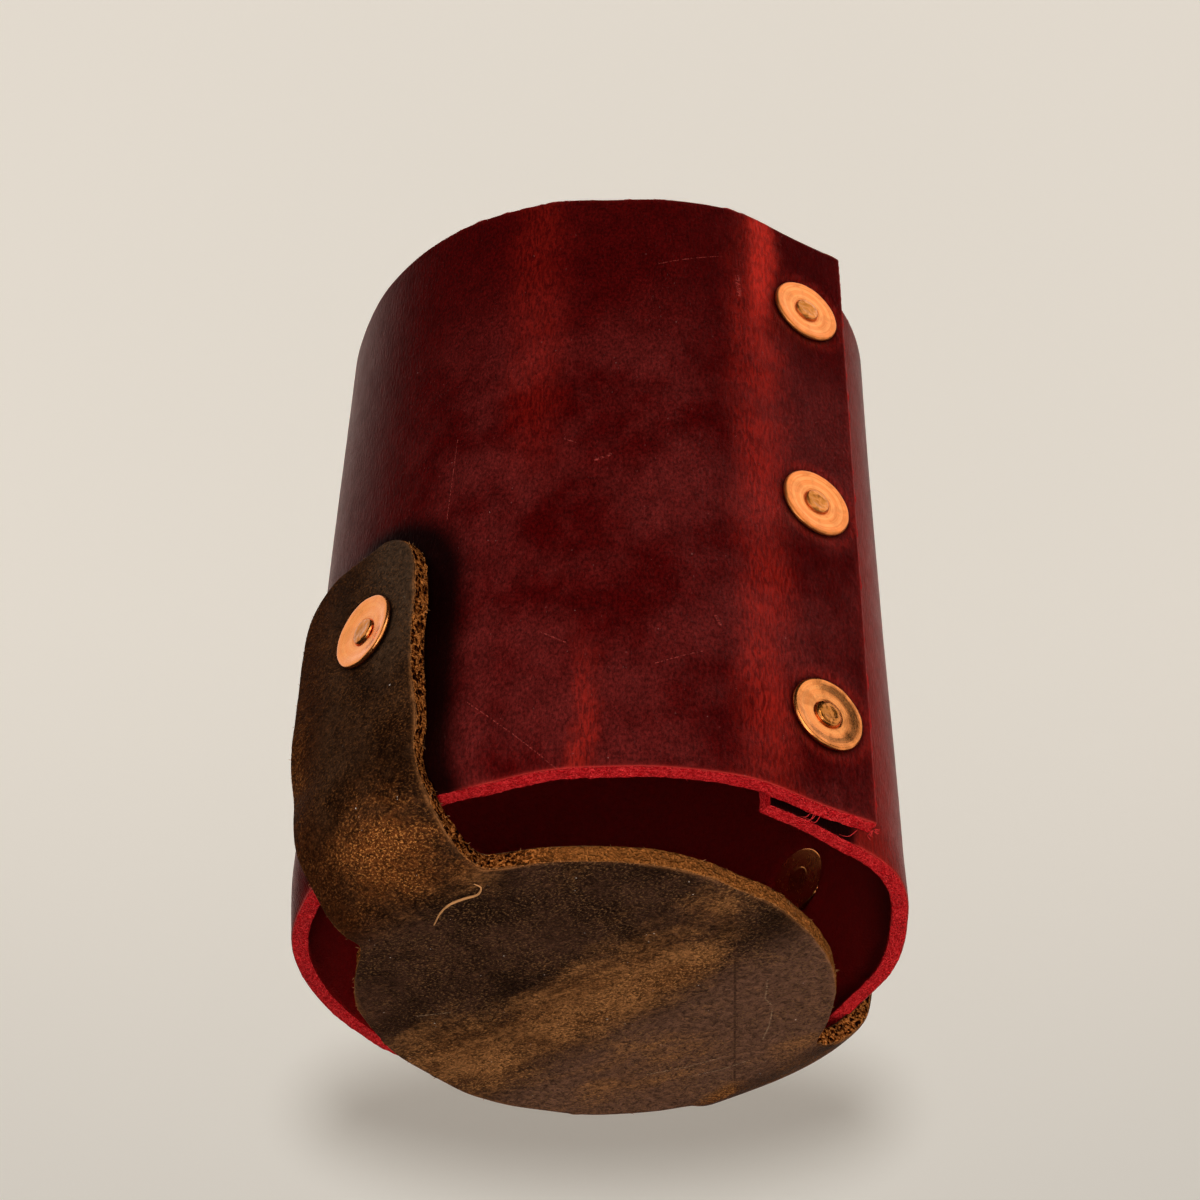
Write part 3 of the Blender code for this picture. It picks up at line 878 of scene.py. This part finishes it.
# Where the strap is rubbed tan: the middle, the reach each way, the turn and the strength of each patch.
RUBBED_PATCHES = (
    ((0.0, 1.0), (8.5, 27.0), 0.0, 1.0),
    ((2.4, -10.0), (5.0, 11.0), 0.0, 1.15),
    ((-1.5, 21.0), (11.0, 13.0), 0.0, 0.95),
    ((-3.0, -24.0), (6.0, 6.0), 0.0, 0.70),
    ((15.0, 8.0), (9.0, 19.0), 0.1, 0.45),
    ((24.0, -9.0), (3.0, 8.0), 0.0, 0.60),
    ((27.0, 6.0), (2.4, 6.5), 0.15, 1.0),
    ((-33.5, -2.5), (9.5, 9.5), 0.0, 0.85),
    ((-27.0, -8.5), (6.0, 4.0), 0.0, 0.55),
    ((-50.0, 9.0), (14.0, 3.6), 0.0, 0.36),
    ((34.0, 0.0), (8.0, 14.0), 0.0, 0.9),
    ((58.0, -5.0), (10.0, 4.0), 0.2, 0.6),
)


def pulled_streaks(made, flat, s, h, wrinkle):
    """Where the sleeve's leather has been pulled and shows red, from 0 to 1, with a painted red sheen on the
    shoulder.
    """
    drift = made.grain(flat, (0.10, 0.06), 4.0, 0.65)
    s_bent = made.linear(made.math("SUBTRACT", drift, 0.5), 8.0, s)

    def band(centre, width, low, high, strength):
        """A streak down the leather, between two heights."""
        away = made.math("ABSOLUTE", made.math("SUBTRACT", s_bent, centre))
        across = made.span(away, width, width * 0.1, 0.0, strength)
        return made.times(across, made.span(h, low - 14, low + 6), made.span(h, high + 14, high - 6))

    patchy = made.span(made.grain(flat, (0.05, 0.085), 3.0, 0.6, 0.0, (1, 4)), 0.34, 0.62, 0.24, 0.60)
    patchy = made.most(patchy, made.span(h, 70, 86))
    ridges = made.span(wrinkle, 0.38, 0.62)
    core = made.times(band(-0.3, 3.3, -20, 120, 1.0), patchy, 0.66, made.linear(ridges, 0.50, 0.55),
                      made.span(h, 60, 80, 0.72, 1.0))
    skirt = made.times(band(-0.8, 5.4, -20, 120, 0.62), patchy, made.span(h, 86, 74, 0.40, 1.0),
                       made.linear(ridges, 0.70, 0.25))
    faint = made.most(*(band(*streak) for streak in FAINT_STREAKS), made.times(made.attribute("pull"), 0.14))
    faint = made.times(faint, made.linear(ridges, 0.8, 0.25))
    # A red band on the shoulder by the lap: partly pull-up, partly painted red sheen.
    shoulder_pull_and_sheen = made.times(band(-206.0, 14.0, -20, 120, 0.20), made.span(wrinkle, 0.36, 0.64, 0.55, 1.0))
    return made.most(core, skirt, faint, shoulder_pull_and_sheen)


def sleeve_finish():
    """Oxblood oiled leather: near black where it lies flat, red where it was pulled, with raw red edges."""
    made = Finish("oxblood_leather")
    place = made.attribute("strip", "Vector")
    flat = made.flat(place)
    s, h = made.add("SeparateXYZ", {0: place}).outputs[:2]
    wrinkle = made.grain(flat, (3.0, 0.72), 3.0, 0.55, 0.5)
    grain = made.grain(flat, (2.9, 1.9), 4.0, 0.75, 0.3, (7, 3))
    mottle = made.grain(flat, (0.42, 0.26), 4.0, 0.68, 0.6, (4, 9))
    cloud = made.grain(flat, (0.055, 0.045), 5.0, 0.62, 0.0, (3, 8))
    pulled = pulled_streaks(made, flat, s, h, wrinkle)
    # A mauve bloom lies in random clouds on the lower front and on the back, partly as painted sheen; the
    # leather beside the tab and towards the top stays dark, as painted shade.
    beside = made.most(made.span(s, -52, -36, 0.15, 1.0), made.span(s, -68, -82))
    mauve_and_sheen = made.times(made.span(cloud, 0.36, 0.62), made.span(h, 88, 62, 0.10, 1.0), beside)
    base = made.mix(mauve_and_sheen, (0.034, 0.0006, 0.0006), (0.066, 0.006, 0.0052))
    # The tone varies at random with the grain and the mottle; along the wrinkles it is painted light on the
    # ridges and painted shade in the hollows.
    tone_and_wrinkle_shade = made.times(made.span(grain, 0.34, 0.66, 0.55, 1.55), made.span(mottle, 0.34, 0.66, 0.84, 1.14),
                      made.span(wrinkle, 0.36, 0.64, 0.92, 1.10))
    colour = made.mix(pulled, made.scale(base, tone_and_wrinkle_shade), (0.52, 0.02, 0.01))
    nicks = made.times(made.lines(flat, NICKS), made.span(made.noise(flat, 3.2, 2.0), 0.42, 0.62))
    colour = made.mix(nicks, colour, (0.36, 0.05, 0.04), 0.6)
    # Pale specks: dust, and partly painted glints on the grain.
    dust = made.most(made.specks(flat, 0.55, 0.05), made.specks(flat, 1.1, 0.055))
    colour = made.mix(dust, colour, (0.42, 0.20, 0.18), 0.62)
    colour = made.mix(made.attribute("worn"), colour, (0.40, 0.022, 0.018), 0.8)
    strands = fluff(made, place, 1.7)
    flesh = made.mix(made.noise(place, 1.6, 4.0, 0.7), (0.05, 0.0006, 0.0006), (0.22, 0.004, 0.004))
    raw = made.mix(strands, (0.32, 0.0024, 0.0046), (0.72, 0.013, 0.019))
    # The palest pink on the strand tips: partly the fibres' own tone, partly painted highlight.
    raw = made.mix(made.span(strands, 0.70, 1.0, 0.0, 0.4), raw, (0.85, 0.08, 0.072))
    gloss = made.linear(pulled, 0.10, made.span(mottle, 0.3, 0.7, 0.37, 0.30))
    relief = made.linear(nicks, -0.5, made.linear(wrinkle, 0.9, made.times(grain, 0.35)))
    made.surface({
        "Specular IOR Level": 0.11,
        "Sheen Weight": 0.06,
        "Sheen Roughness": 0.18,
        "Sheen Tint": (1.0, 0.20, 0.16),
    })
    # under is the near-black colour of the painted shade where something lies on the sleeve.
    return leather_surface(
        made, colour, under=((0.002, 0.0003, 0.0003), 0.96), flesh=flesh, raw=raw, gloss=gloss,
        raw_gloss=0.9, relief=made.bump(relief, 0.20 * MM, 0.9), strands=strands, depth=0.35 * MM,
    )


def rubbed_tan(made, flat, streaky, nap):
    """Where the strap is rubbed tan, from 0 to 1, broken up by the streaks and the nap."""

    def patch(centre, reach, turn, strength):
        inner = made.vector("SUBTRACT", flat, (*centre, 0))
        inner = made.add("VectorRotate", {"Vector": inner, "Angle": turn}).outputs[0]
        away = made.measure("LENGTH", made.vector("DIVIDE", inner, (*reach, 1)))
        return made.span(away, 1.25, 0.1, 0.0, strength)

    rubbed = made.most(*(patch(*each) for each in RUBBED_PATCHES))
    # The far side of the crease, from the middle of the disc, is rubbed less.
    start, end = CREASE
    beyond = Vector((end[1] - start[1], start[0] - end[0], 0)).normalized()
    far_side = made.measure("DOT_PRODUCT", made.vector("SUBTRACT", flat, (*start, 0)), beyond)
    rubbed = made.times(rubbed, made.span(far_side, -0.4, 0.6, 1.0, 0.62))
    return made.span(made.linear(streaky, 1.5, made.linear(nap, 0.6, rubbed)), 1.08, 2.10)


def strap_finish():
    """Distressed brown leather with a short nap, rubbed tan in patches, and open orange-brown edges."""
    made = Finish("brown_leather")
    place = made.attribute("strip", "Vector")
    flat = made.flat(place)
    x, y, depth = made.add("SeparateXYZ", {0: place}).outputs
    from_middle = made.math("ABSOLUTE", x)
    lie = made.stretched(flat, (1, 1, 1), turn=NAP_TURN)
    streaky = made.grain(lie, (0.30, 0.13), 5.0, 0.68, 0.5, (2, 5))
    nap = made.grain(lie, (1.5, 1.0), 4.0, 0.72, 0.5)
    hairs = made.grain(lie, (3.9, 2.7), 3.0, 0.70, 0.25, (5, 2))
    rubbed = rubbed_tan(made, flat, streaky, nap)
    up_tab = made.span(from_middle, 24.0, 30.0)
    shade = made.span(made.grain(flat, (0.09, 0.09), 4.0, 0.6, 0.0, (2, 6)), 0.36, 0.64)
    dark = made.mix(shade, (0.012, 0.0049, 0.0028), (0.039, 0.0162, 0.009))
    dark = made.mix(made.span(x, 3.0, 11.0, 0.0, 0.75), dark, (0.112, 0.051, 0.03))
    tab_dark = made.mix(shade, (0.010, 0.0032, 0.0012), (0.034, 0.0142, 0.0062))
    worn_tip = made.times(made.span(y, 0.0, -6.0), made.span(from_middle, 52.0, 62.0))
    tab_dark = made.mix(worn_tip, tab_dark, (0.050, 0.029, 0.0165), 0.7)
    tab_dark = made.mix(made.span(y, 2.0, 8.5), tab_dark, (0.026, 0.007, 0.002))
    tan = made.mix(made.span(streaky, 0.35, 0.65), (0.094, 0.0345, 0.0108), (0.168, 0.068, 0.0225))
    tan = made.mix(up_tab, tan, (0.088, 0.0245, 0.0056))
    colour = made.mix(rubbed, made.mix(up_tab, dark, tab_dark), tan)
    # The tone follows the nap: partly at random, partly painted light and shade of its relief.
    colour = made.scale(colour, made.span(nap, 0.32, 0.68, 0.50, 1.55))
    # Hairs of the nap stand up pale, golden on the tab, with dark pits between them: partly their own colour,
    # partly painted light on the tips and painted shade in the pits.
    hair_tips_and_light = made.span(made.grain(flat, (0.13, 0.13), 3.0, 0.6, 0.0, (8, 1)), 0.36, 0.60, 0.35, 1.0)
    unrubbed_tab = made.times(up_tab, made.math("SUBTRACT", 1.0, rubbed))
    hair_tips_and_light = made.times(hair_tips_and_light, made.span(hairs, 0.52, 0.63, 0.0, 0.86), made.linear(unrubbed_tab, -0.5, 1.0))
    hair = made.mix(rubbed, (0.140, 0.068, 0.027), (0.40, 0.170, 0.052))
    tab_hair = made.mix(rubbed, (0.22, 0.075, 0.018), (0.60, 0.225, 0.050))
    colour = made.mix(hair_tips_and_light, colour, made.mix(up_tab, hair, tab_hair, 0.8))
    # Painted shade in the pits between the hairs.
    colour = made.mix(made.span(hairs, 0.47, 0.32, 0.0, 0.72), colour, (0.005, 0.0018, 0.0009))
    dust = made.most(made.specks(flat, 0.45, 0.05), made.specks(flat, 0.8, 0.05))
    colour = made.mix(dust, colour, (0.60, 0.50, 0.42), 0.8)
    # The crease is only a dark line, its painted shade; it has no relief.
    crease = made.times(made.line(flat, *CREASE, 0.22), made.span(nap, 0.4, 0.6))
    colour = made.mix(crease, colour, (0.006, 0.0024, 0.0012), 0.75)
    scuffs = made.times(made.lines(flat, SCUFFS), made.span(hairs, 0.36, 0.60))
    colour = made.mix(scuffs, colour, (0.30, 0.19, 0.11), 0.6)
    worn = made.times(made.attribute("worn"), made.span(streaky, 0.40, 0.60, 0.25, 0.75))
    colour = made.mix(worn, colour, (0.25, 0.095, 0.03))
    strands = fluff(made, place, 0.8)
    # The cut edge is near black in the pits, as painted shade, and pale orange on the strand tips, partly
    # painted highlight.
    raw = made.mix(made.span(strands, 0.12, 0.90), (0.005, 0.0011, 0.0004), (0.17, 0.04, 0.0055))
    raw = made.mix(made.span(strands, 0.66, 1.0, 0.0, 0.75), raw, (0.58, 0.20, 0.045))
    # The disc's edge is smoother than the tab's, and both have a pale line close to the outer face, partly
    # painted highlight along the corner.
    round_disc = made.span(from_middle, 25.0, 20.0, 0.0, 0.62)
    raw = made.mix(round_disc, raw, made.mix(nap, (0.20, 0.060, 0.012), (0.36, 0.130, 0.030)))
    rim = made.times(made.span(depth, 0.30, 0.20), made.span(depth, 0.06, 0.14))
    raw = made.mix(rim, raw, (0.34, 0.145, 0.052), 0.5)
    suede = made.mix(nap, (0.05, 0.022, 0.009), (0.16, 0.075, 0.032))
    relief = made.linear(nap, 0.8, made.times(hairs, 0.6))
    made.surface({"Specular IOR Level": 0.07})
    # under is the near-black colour of the painted shade where something lies on the strap.
    return leather_surface(
        made, colour, under=((0.003, 0.001, 0.0006), 0.92), flesh=suede, raw=raw,
        gloss=made.span(rubbed, 0.0, 1.0, 0.52, 0.70), raw_gloss=0.92,
        relief=made.bump(relief, 0.45 * MM, 1.0), strands=strands, depth=0.45 * MM,
    )


def copper_finish(name, roughness, tarnish, ring_depth):
    """Copper with turned rings, fine scratches, and a darker, lumpy post end in the middle."""
    made = Finish(name)
    place = made.attribute("disc", "Vector")
    away = made.measure("LENGTH", made.flat(place))
    stain = made.noise(place, 0.62, 3.0, 0.55, 0.6)
    lumps = made.noise(place, 0.9, 2.0, 0.5, 0.6)
    scratched = made.noise(made.stretched(place, (6, 1.2, 1), turn=0.6), 1.0, 3.0, 0.7)
    ring_place = made.add("CombineXYZ", {0: made.times(away, 3.4), 1: made.times(stain, 0.8)}).outputs[0]
    rings = made.noise(ring_place, 1.0, 3.0, 0.65)
    contrast = ring_depth / DEEPEST_RINGS
    shade = made.span(rings, 0.35, 0.65, 0.5 - contrast / 2, 0.5 + contrast / 2)
    colour = made.mix(shade, (0.88, 0.25, 0.056), (1.0, 0.40, 0.12))
    # A dark film lies in blots, and where the burr meets the post.
    seat = made.times(made.span(away, 2.20, 1.90), made.span(away, 1.72, 1.85))
    film = made.most(made.times(made.span(stain, 0.44, 0.64), tarnish), made.times(seat, 0.18))
    colour = made.mix(film, colour, (0.30, 0.085, 0.014))
    post_end = made.span(away, 1.75, 1.45)
    golden = made.times(post_end, made.span(lumps, 0.62, 0.40, 0.55, 1.0))
    gloss = made.linear(made.math("ADD", scratched, stain), 0.09, roughness)
    relief = made.bump(made.linear(rings, 0.6, made.times(scratched, 0.25)), ring_depth, 0.6)
    return made.surface({
        "Base Color": made.mix(golden, colour, (0.50, 0.17, 0.028)),
        "Metallic": 1.0,
        "Roughness": made.math("MINIMUM", gloss, made.span(post_end, 0, 1, 1.0, 0.30)),
        "Normal": made.bump(made.times(lumps, post_end), ring_depth * 3, 1.0, relief),
    })


def fibre_finish(name, colour):
    made = Finish(name)
    shade = made.noise(made.add("TexCoord", {}).outputs["Object"], 900.0, 2.0)
    dark = tuple(c * 0.5 for c in colour)
    return made.surface({"Base Color": made.mix(shade, dark, colour), "Roughness": 0.85})


# Loose fibres


def fibres(name, strands, finish):
    """Fine tapered strands as one curve. Each strand is its points and its half thickness."""
    curve = bpy.data.curves.new(name, "CURVE")
    curve.dimensions = "3D"
    curve.bevel_depth = 1.0
    curve.bevel_resolution = 1
    curve.use_fill_caps = True
    for points, thickness in strands:
        spline = curve.splines.new("POLY")
        spline.points.add(len(points) - 1)
        for i, point in enumerate(points):
            taper = math.sin(math.pi * (0.12 + 0.8 * i / (len(points) - 1)))
            spline.points[i].co = (*point, 1)
            spline.points[i].radius = thickness * taper
    curve.materials.append(finish)
    made = new_object(name, curve)
    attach(made, "root")


def smooth_run(points, steps):
    """Points along a smooth curve through the given ones."""
    run = []
    count = len(points)
    for i in range(count - 1):
        before, here = points[max(i - 1, 0)], points[i]
        after, beyond = points[i + 1], points[min(i + 2, count - 1)]
        slope = after - before
        bend = 2 * before - 5 * here + 4 * after - beyond
        twist = 3 * here - before - 3 * after + beyond
        for t in (j / steps for j in range(steps)):
            run.append(0.5 * (2 * here + slope * t + bend * t**2 + twist * t**3))
    return run + [points[-1]]


def loose_strand():
    """The pale fibre that lies across the start of the near tab's bend."""
    marks = ((-23.3, 0.9), (-24.3, -1.3), (-24.7, -3.4), (-24.3, -5.5), (-23.8, -7.0), (-24.4, -8.3),
             (-25.4, -8.3))
    points = [Vector((x, y, -0.22)) * MM for x, y in marks]
    for point in points:
        point.z += max(-25.5 * MM - point.x, 0) * 0.12
    return smooth_run(points, 4)


def scattered(draw, reach):
    return Vector([draw.uniform(-reach, reach) for _ in range(3)])


def lap_strands():
    """Fibres across the gap between the lap's layers at the bottom edge, and a tuft at the lap's corner."""
    strands = []
    for share, slack in ((0.42, 0.5), (0.45, 1.0), (0.47, 0.6), (0.51, 0.9), (0.86, 0.8)):
        turn = np.array([TURN + LAP_ANGLE * share])
        height = np.array([SLEEVE_BOTTOM + 0.1 * MM])
        face, outward = sleeve_face(turn, height)
        start = Vector(face[0] - outward[0] * (SLEEVE_THICKNESS - 0.1 * MM))
        end = Vector(sleeve_face(turn - TURN, height)[0][0])
        middle = (start + end) / 2 - Vector((0, 0, slack * 0.7)) * MM
        strands.append((smooth_run([start, middle, end], 4), 0.045 * MM))
    lap_end = TURN + LAP_ANGLE - LAP_TRIM / LAP_FLAT
    corner, outward = sleeve_face(np.array([lap_end]), np.array([SLEEVE_BOTTOM]))
    draw = random.Random(12)
    for _ in range(16):
        start = Vector(corner[0] - outward[0] * SLEEVE_THICKNESS * draw.uniform(0.2, 1.0))
        drop = Vector([draw.uniform(-0.5, 0.5), draw.uniform(-0.5, 0.5), draw.uniform(-0.5, -0.1)]) * MM
        end = start + drop
        middle = (start + end) / 2 + scattered(draw, 0.2) * MM
        strands.append((smooth_run([start, middle, end], 3), 0.035 * MM))
    return strands


def edge_fuzz(piece, count, reach, seed):
    """Short strands that stand out of a piece's cut edges."""
    draw = random.Random(seed)
    mesh = piece.data
    values = np.zeros(len(mesh.vertices), np.float32)
    mesh.attributes["cut"].data.foreach_get("value", values)
    strands = []
    for i in draw.sample(list(np.nonzero(values > 0)[0]), count):
        vertex = mesh.vertices[int(i)]
        aim = (vertex.normal + scattered(draw, 0.9)).normalized()
        length = reach * draw.uniform(0.35, 1.0)
        curl = scattered(draw, 0.5) * length
        strand = [vertex.co + aim * (length * t) + curl * (t * t) for t in (-0.1, 0.25, 0.5, 0.75, 1.0)]
        strands.append((strand, draw.uniform(0.018, 0.032) * MM))
    return strands


# The studio


def make_camera():
    data = bpy.data.cameras.new("camera")
    data.lens = CAMERA_LENS
    data.sensor_width = CAMERA_SENSOR
    data.clip_start = 0.01
    data.clip_end = 50
    camera = new_object("camera", data)
    turn = Matrix((CAMERA_RIGHT, CAMERA_UP, CAMERA_BACK)).transposed().to_4x4()
    camera.matrix_world = Matrix.Translation(CAMERA_PLACE) @ turn
    bpy.context.scene.camera = camera


def collection(name, objects):
    made = bpy.data.collections.new(name)
    for each in objects:
        made.objects.link(each)
    return made


def area_light(name, toward, distance, size, power, colour, receivers=()):
    """A soft lamp seen from the cooler's middle in the direction toward. It may light only some pieces."""
    data = bpy.data.lights.new(name, "AREA")
    data.shape = "DISK"
    data.size = size
    data.energy = power
    data.color = colour
    lamp = new_object(name, data)
    lamp.visible_camera = False
    direction = Vector(toward).normalized()
    turn = direction.to_track_quat("Z", "Y").to_matrix().to_4x4()
    lamp.matrix_world = Matrix.Translation(Vector((0, 0, SLEEVE_TOP / 2)) + direction * distance) @ turn
    if receivers:
        lamp.light_linking.receiver_collection = collection(f"lit_by_{name}", receivers)
    return lamp


def make_world():
    """Bright beyond the cooler as the photograph sees it, and dim on the camera's side."""
    world = bpy.data.worlds.new("studio")
    bpy.context.scene.world = world
    made = Nodes(world)
    direction = made.add("TexCoord", {}).outputs["Generated"]
    beyond = made.measure("DOT_PRODUCT", direction, -CAMERA_BACK)
    ramp = made.add("ValToRGB", {0: made.linear(beyond, 0.5, 0.5)})
    dim, bright = ramp.color_ramp.elements
    ramp.color_ramp.interpolation = "EASE"
    dim.position = 0.85
    dim.color = (0.022, 0.019, 0.018, 1)
    bright.color = (0.76, 0.68, 0.60, 1)
    made.feed(made.tree.nodes["Background"].inputs["Color"], ramp.outputs[0])


def unlit_helper(name, points, faces, material=None):
    """A mesh of the studio that light passes by: only the camera or one lamp has to do with it."""
    made = mesh_object(name, points, faces, material)
    made.visible_diffuse = False
    made.visible_glossy = False
    made.visible_transmission = False
    return made


def make_backdrop():
    """A pale sweep all round: flat floor far below, and walls that curve up and over."""
    rows, columns = 49, 96
    points = []
    for i in range(rows):
        tilt = math.pi * i / (rows - 1)
        r = SWEEP_RADIUS * math.sin(tilt)
        z = max(-SWEEP_RADIUS * math.cos(tilt), -SWEEP_FLOOR)
        for j in range(columns):
            turn = TURN * j / columns
            points.append((r * math.cos(turn), r * math.sin(turn), z))
    made = Finish("pale_backdrop")
    height = made.add("SeparateXYZ", {0: made.add("NewGeometry", {}).outputs["Position"]}).outputs["Z"]
    floor = made.span(height, -0.9, 0.6)
    glow = made.most(made.span(height, 0.85, 1.6, 0.25, 0.43), made.span(height, 0.6, -0.9, 0.0, 0.78))
    made.surface({
        "Base Color": made.mix(floor, (0.06, 0.055, 0.048), (0.80, 0.757, 0.68)),
        "Roughness": 1.0,
        "Specular IOR Level": 0.0,
        "Emission Color": (0.80, 0.70, 0.59),
        "Emission Strength": glow,
    })
    sweep = unlit_helper("backdrop", points, ring_faces(rows, columns), made.material)
    sweep.visible_shadow = False
    return sweep


def light_backdrop(sweep):
    """A lamp at the camera lights only the backdrop. A flag under the cooler casts the soft shadow there."""
    middle = CAMERA_PLACE - CAMERA_BACK * FLAG_DISTANCE - CAMERA_UP * FLAG_DROP
    rim = []
    for angle in (TURN * i / FLAG_STEPS for i in range(FLAG_STEPS)):
        across = CAMERA_RIGHT * (FLAG_HALF_WIDTH * math.cos(angle))
        rim.append(middle + across + CAMERA_UP * (FLAG_HALF_HEIGHT * math.sin(angle)))
    flag = unlit_helper("shadow_flag", rim, [tuple(range(FLAG_STEPS))])
    flag.visible_camera = False
    data = bpy.data.lights.new("backdrop_lamp", "POINT")
    data.energy = BACKDROP_POWER
    data.shadow_soft_size = FLAG_LAMP_RADIUS
    data.color = (0.955, 0.98, 1.0)
    lamp = new_object("backdrop_lamp", data)
    lamp.location = CAMERA_PLACE
    lamp.light_linking.receiver_collection = collection("lit_by_backdrop_lamp", [sweep])
    lamp.light_linking.blocker_collection = collection("shades_backdrop", [flag])


def light_cooler(sleeve):
    """Lamps of the copper's own, soft lamps that no gloss shows, and a faint gloss for the sleeve's back."""
    copper = [each for each in bpy.data.objects if each.name.endswith("_copper")]
    dull = [each for each in copper if each.name.startswith(("seam_top", "seam_middle"))]
    shiny = [each for each in copper if each not in dull]
    for name, toward, size, power, receivers in (
        ("dull_copper_panel", (0.30, -0.60, 0.74), 1.2, 4.6, dull),
        ("shiny_copper_panel", (0.50, -0.70, 0.52), 0.60, 0.95, shiny),
        ("copper_side", (-0.46, 0.64, 0.62), 1.25, 3.6, shiny),
        ("copper_low_0", (-0.85, -0.50, -0.25), 0.8, 1.3, copper),
        ("copper_low_1", (-0.20, -0.95, -0.25), 0.8, 1.3, copper),
        ("copper_low_2", (0.70, -0.65, -0.25), 0.8, 1.3, copper),
        ("copper_low_3", (0.70, 0.70, -0.25), 0.8, 1.3, copper),
        ("copper_rims", (-0.62, -0.50, -0.60), 0.35, 0.9, copper),
        ("copper_flank", (-0.41, -0.91, 0.10), 0.45, 1.2, shiny),
    ):
        area_light(name, toward, LAMP_DISTANCE, size, power, WARM_WHITE, receivers)
    for name, toward, distance, size, power in (
        ("front", (-0.50, -0.55, -0.67), 0.9, 0.45, 11.0),
        ("left", (-0.95, 0.12, 0.25), LAMP_DISTANCE, 0.30, 2.2),
        ("above", (0.25, -0.65, 0.72), LAMP_DISTANCE, 0.35, 2.6),
        ("right", (0.85, -0.42, -0.30), LAMP_DISTANCE, 0.35, 4.0),
        ("behind", (0.45, 0.82, 0.35), LAMP_DISTANCE, 0.50, 7.5),
    ):
        area_light(name, toward, distance, size, power, SOFT_WHITE).visible_glossy = False
    gloss = area_light("back_gloss", (0.05, 0.93, -0.35), LAMP_DISTANCE, 0.60, 0.8, WARM_WHITE, [sleeve])
    gloss.visible_diffuse = False


def main():
    sleeve = make_sleeve(sleeve_finish())
    dress(sleeve, "sleeve")
    strap = make_strap(strap_finish())
    dress(strap, "base_strap")
    worn = copper_finish("copper_worn", 0.36, 0.20, DEEPEST_RINGS)
    bright = copper_finish("copper_bright", 0.17, 0.12, 0.03 * MM)
    aged = copper_finish("copper_aged", 0.17, 0.42, 0.04 * MM)
    make_rivet("seam_top", 1.0, 0.12, 0.34, 0.05, worn)
    make_rivet("seam_middle", 2.3, 0.12, 0.32, 0.08, worn)
    make_rivet("seam_bottom", 3.7, 0.28, 0.44, 0.08, aged)
    make_rivet("tab_left", 5.1, 0.30, 0.34, 0.08, bright)
    make_rivet("tab_right", 6.4, 0.26, 0.34, 0.08, bright)
    red = fibre_finish("red_fibre", (0.55, 0.03, 0.03))
    brown = fibre_finish("brown_fibre", (0.34, 0.15, 0.055))
    pale = fibre_finish("pale_fibre", (0.50, 0.235, 0.09))
    fibres("sleeve_fuzz", edge_fuzz(sleeve, 420, 0.55 * MM, 7), red)
    fibres("lap_strands", lap_strands(), red)
    fibres("strap_fuzz", edge_fuzz(strap, 420, 0.42 * MM, 8), brown)
    fibres("loose_strand", [(loose_strand(), 0.16 * MM)], pale)
    make_camera()
    make_world()
    light_backdrop(make_backdrop())
    light_cooler(sleeve)
    bpy.context.scene.view_settings.view_transform = "Standard"


main()
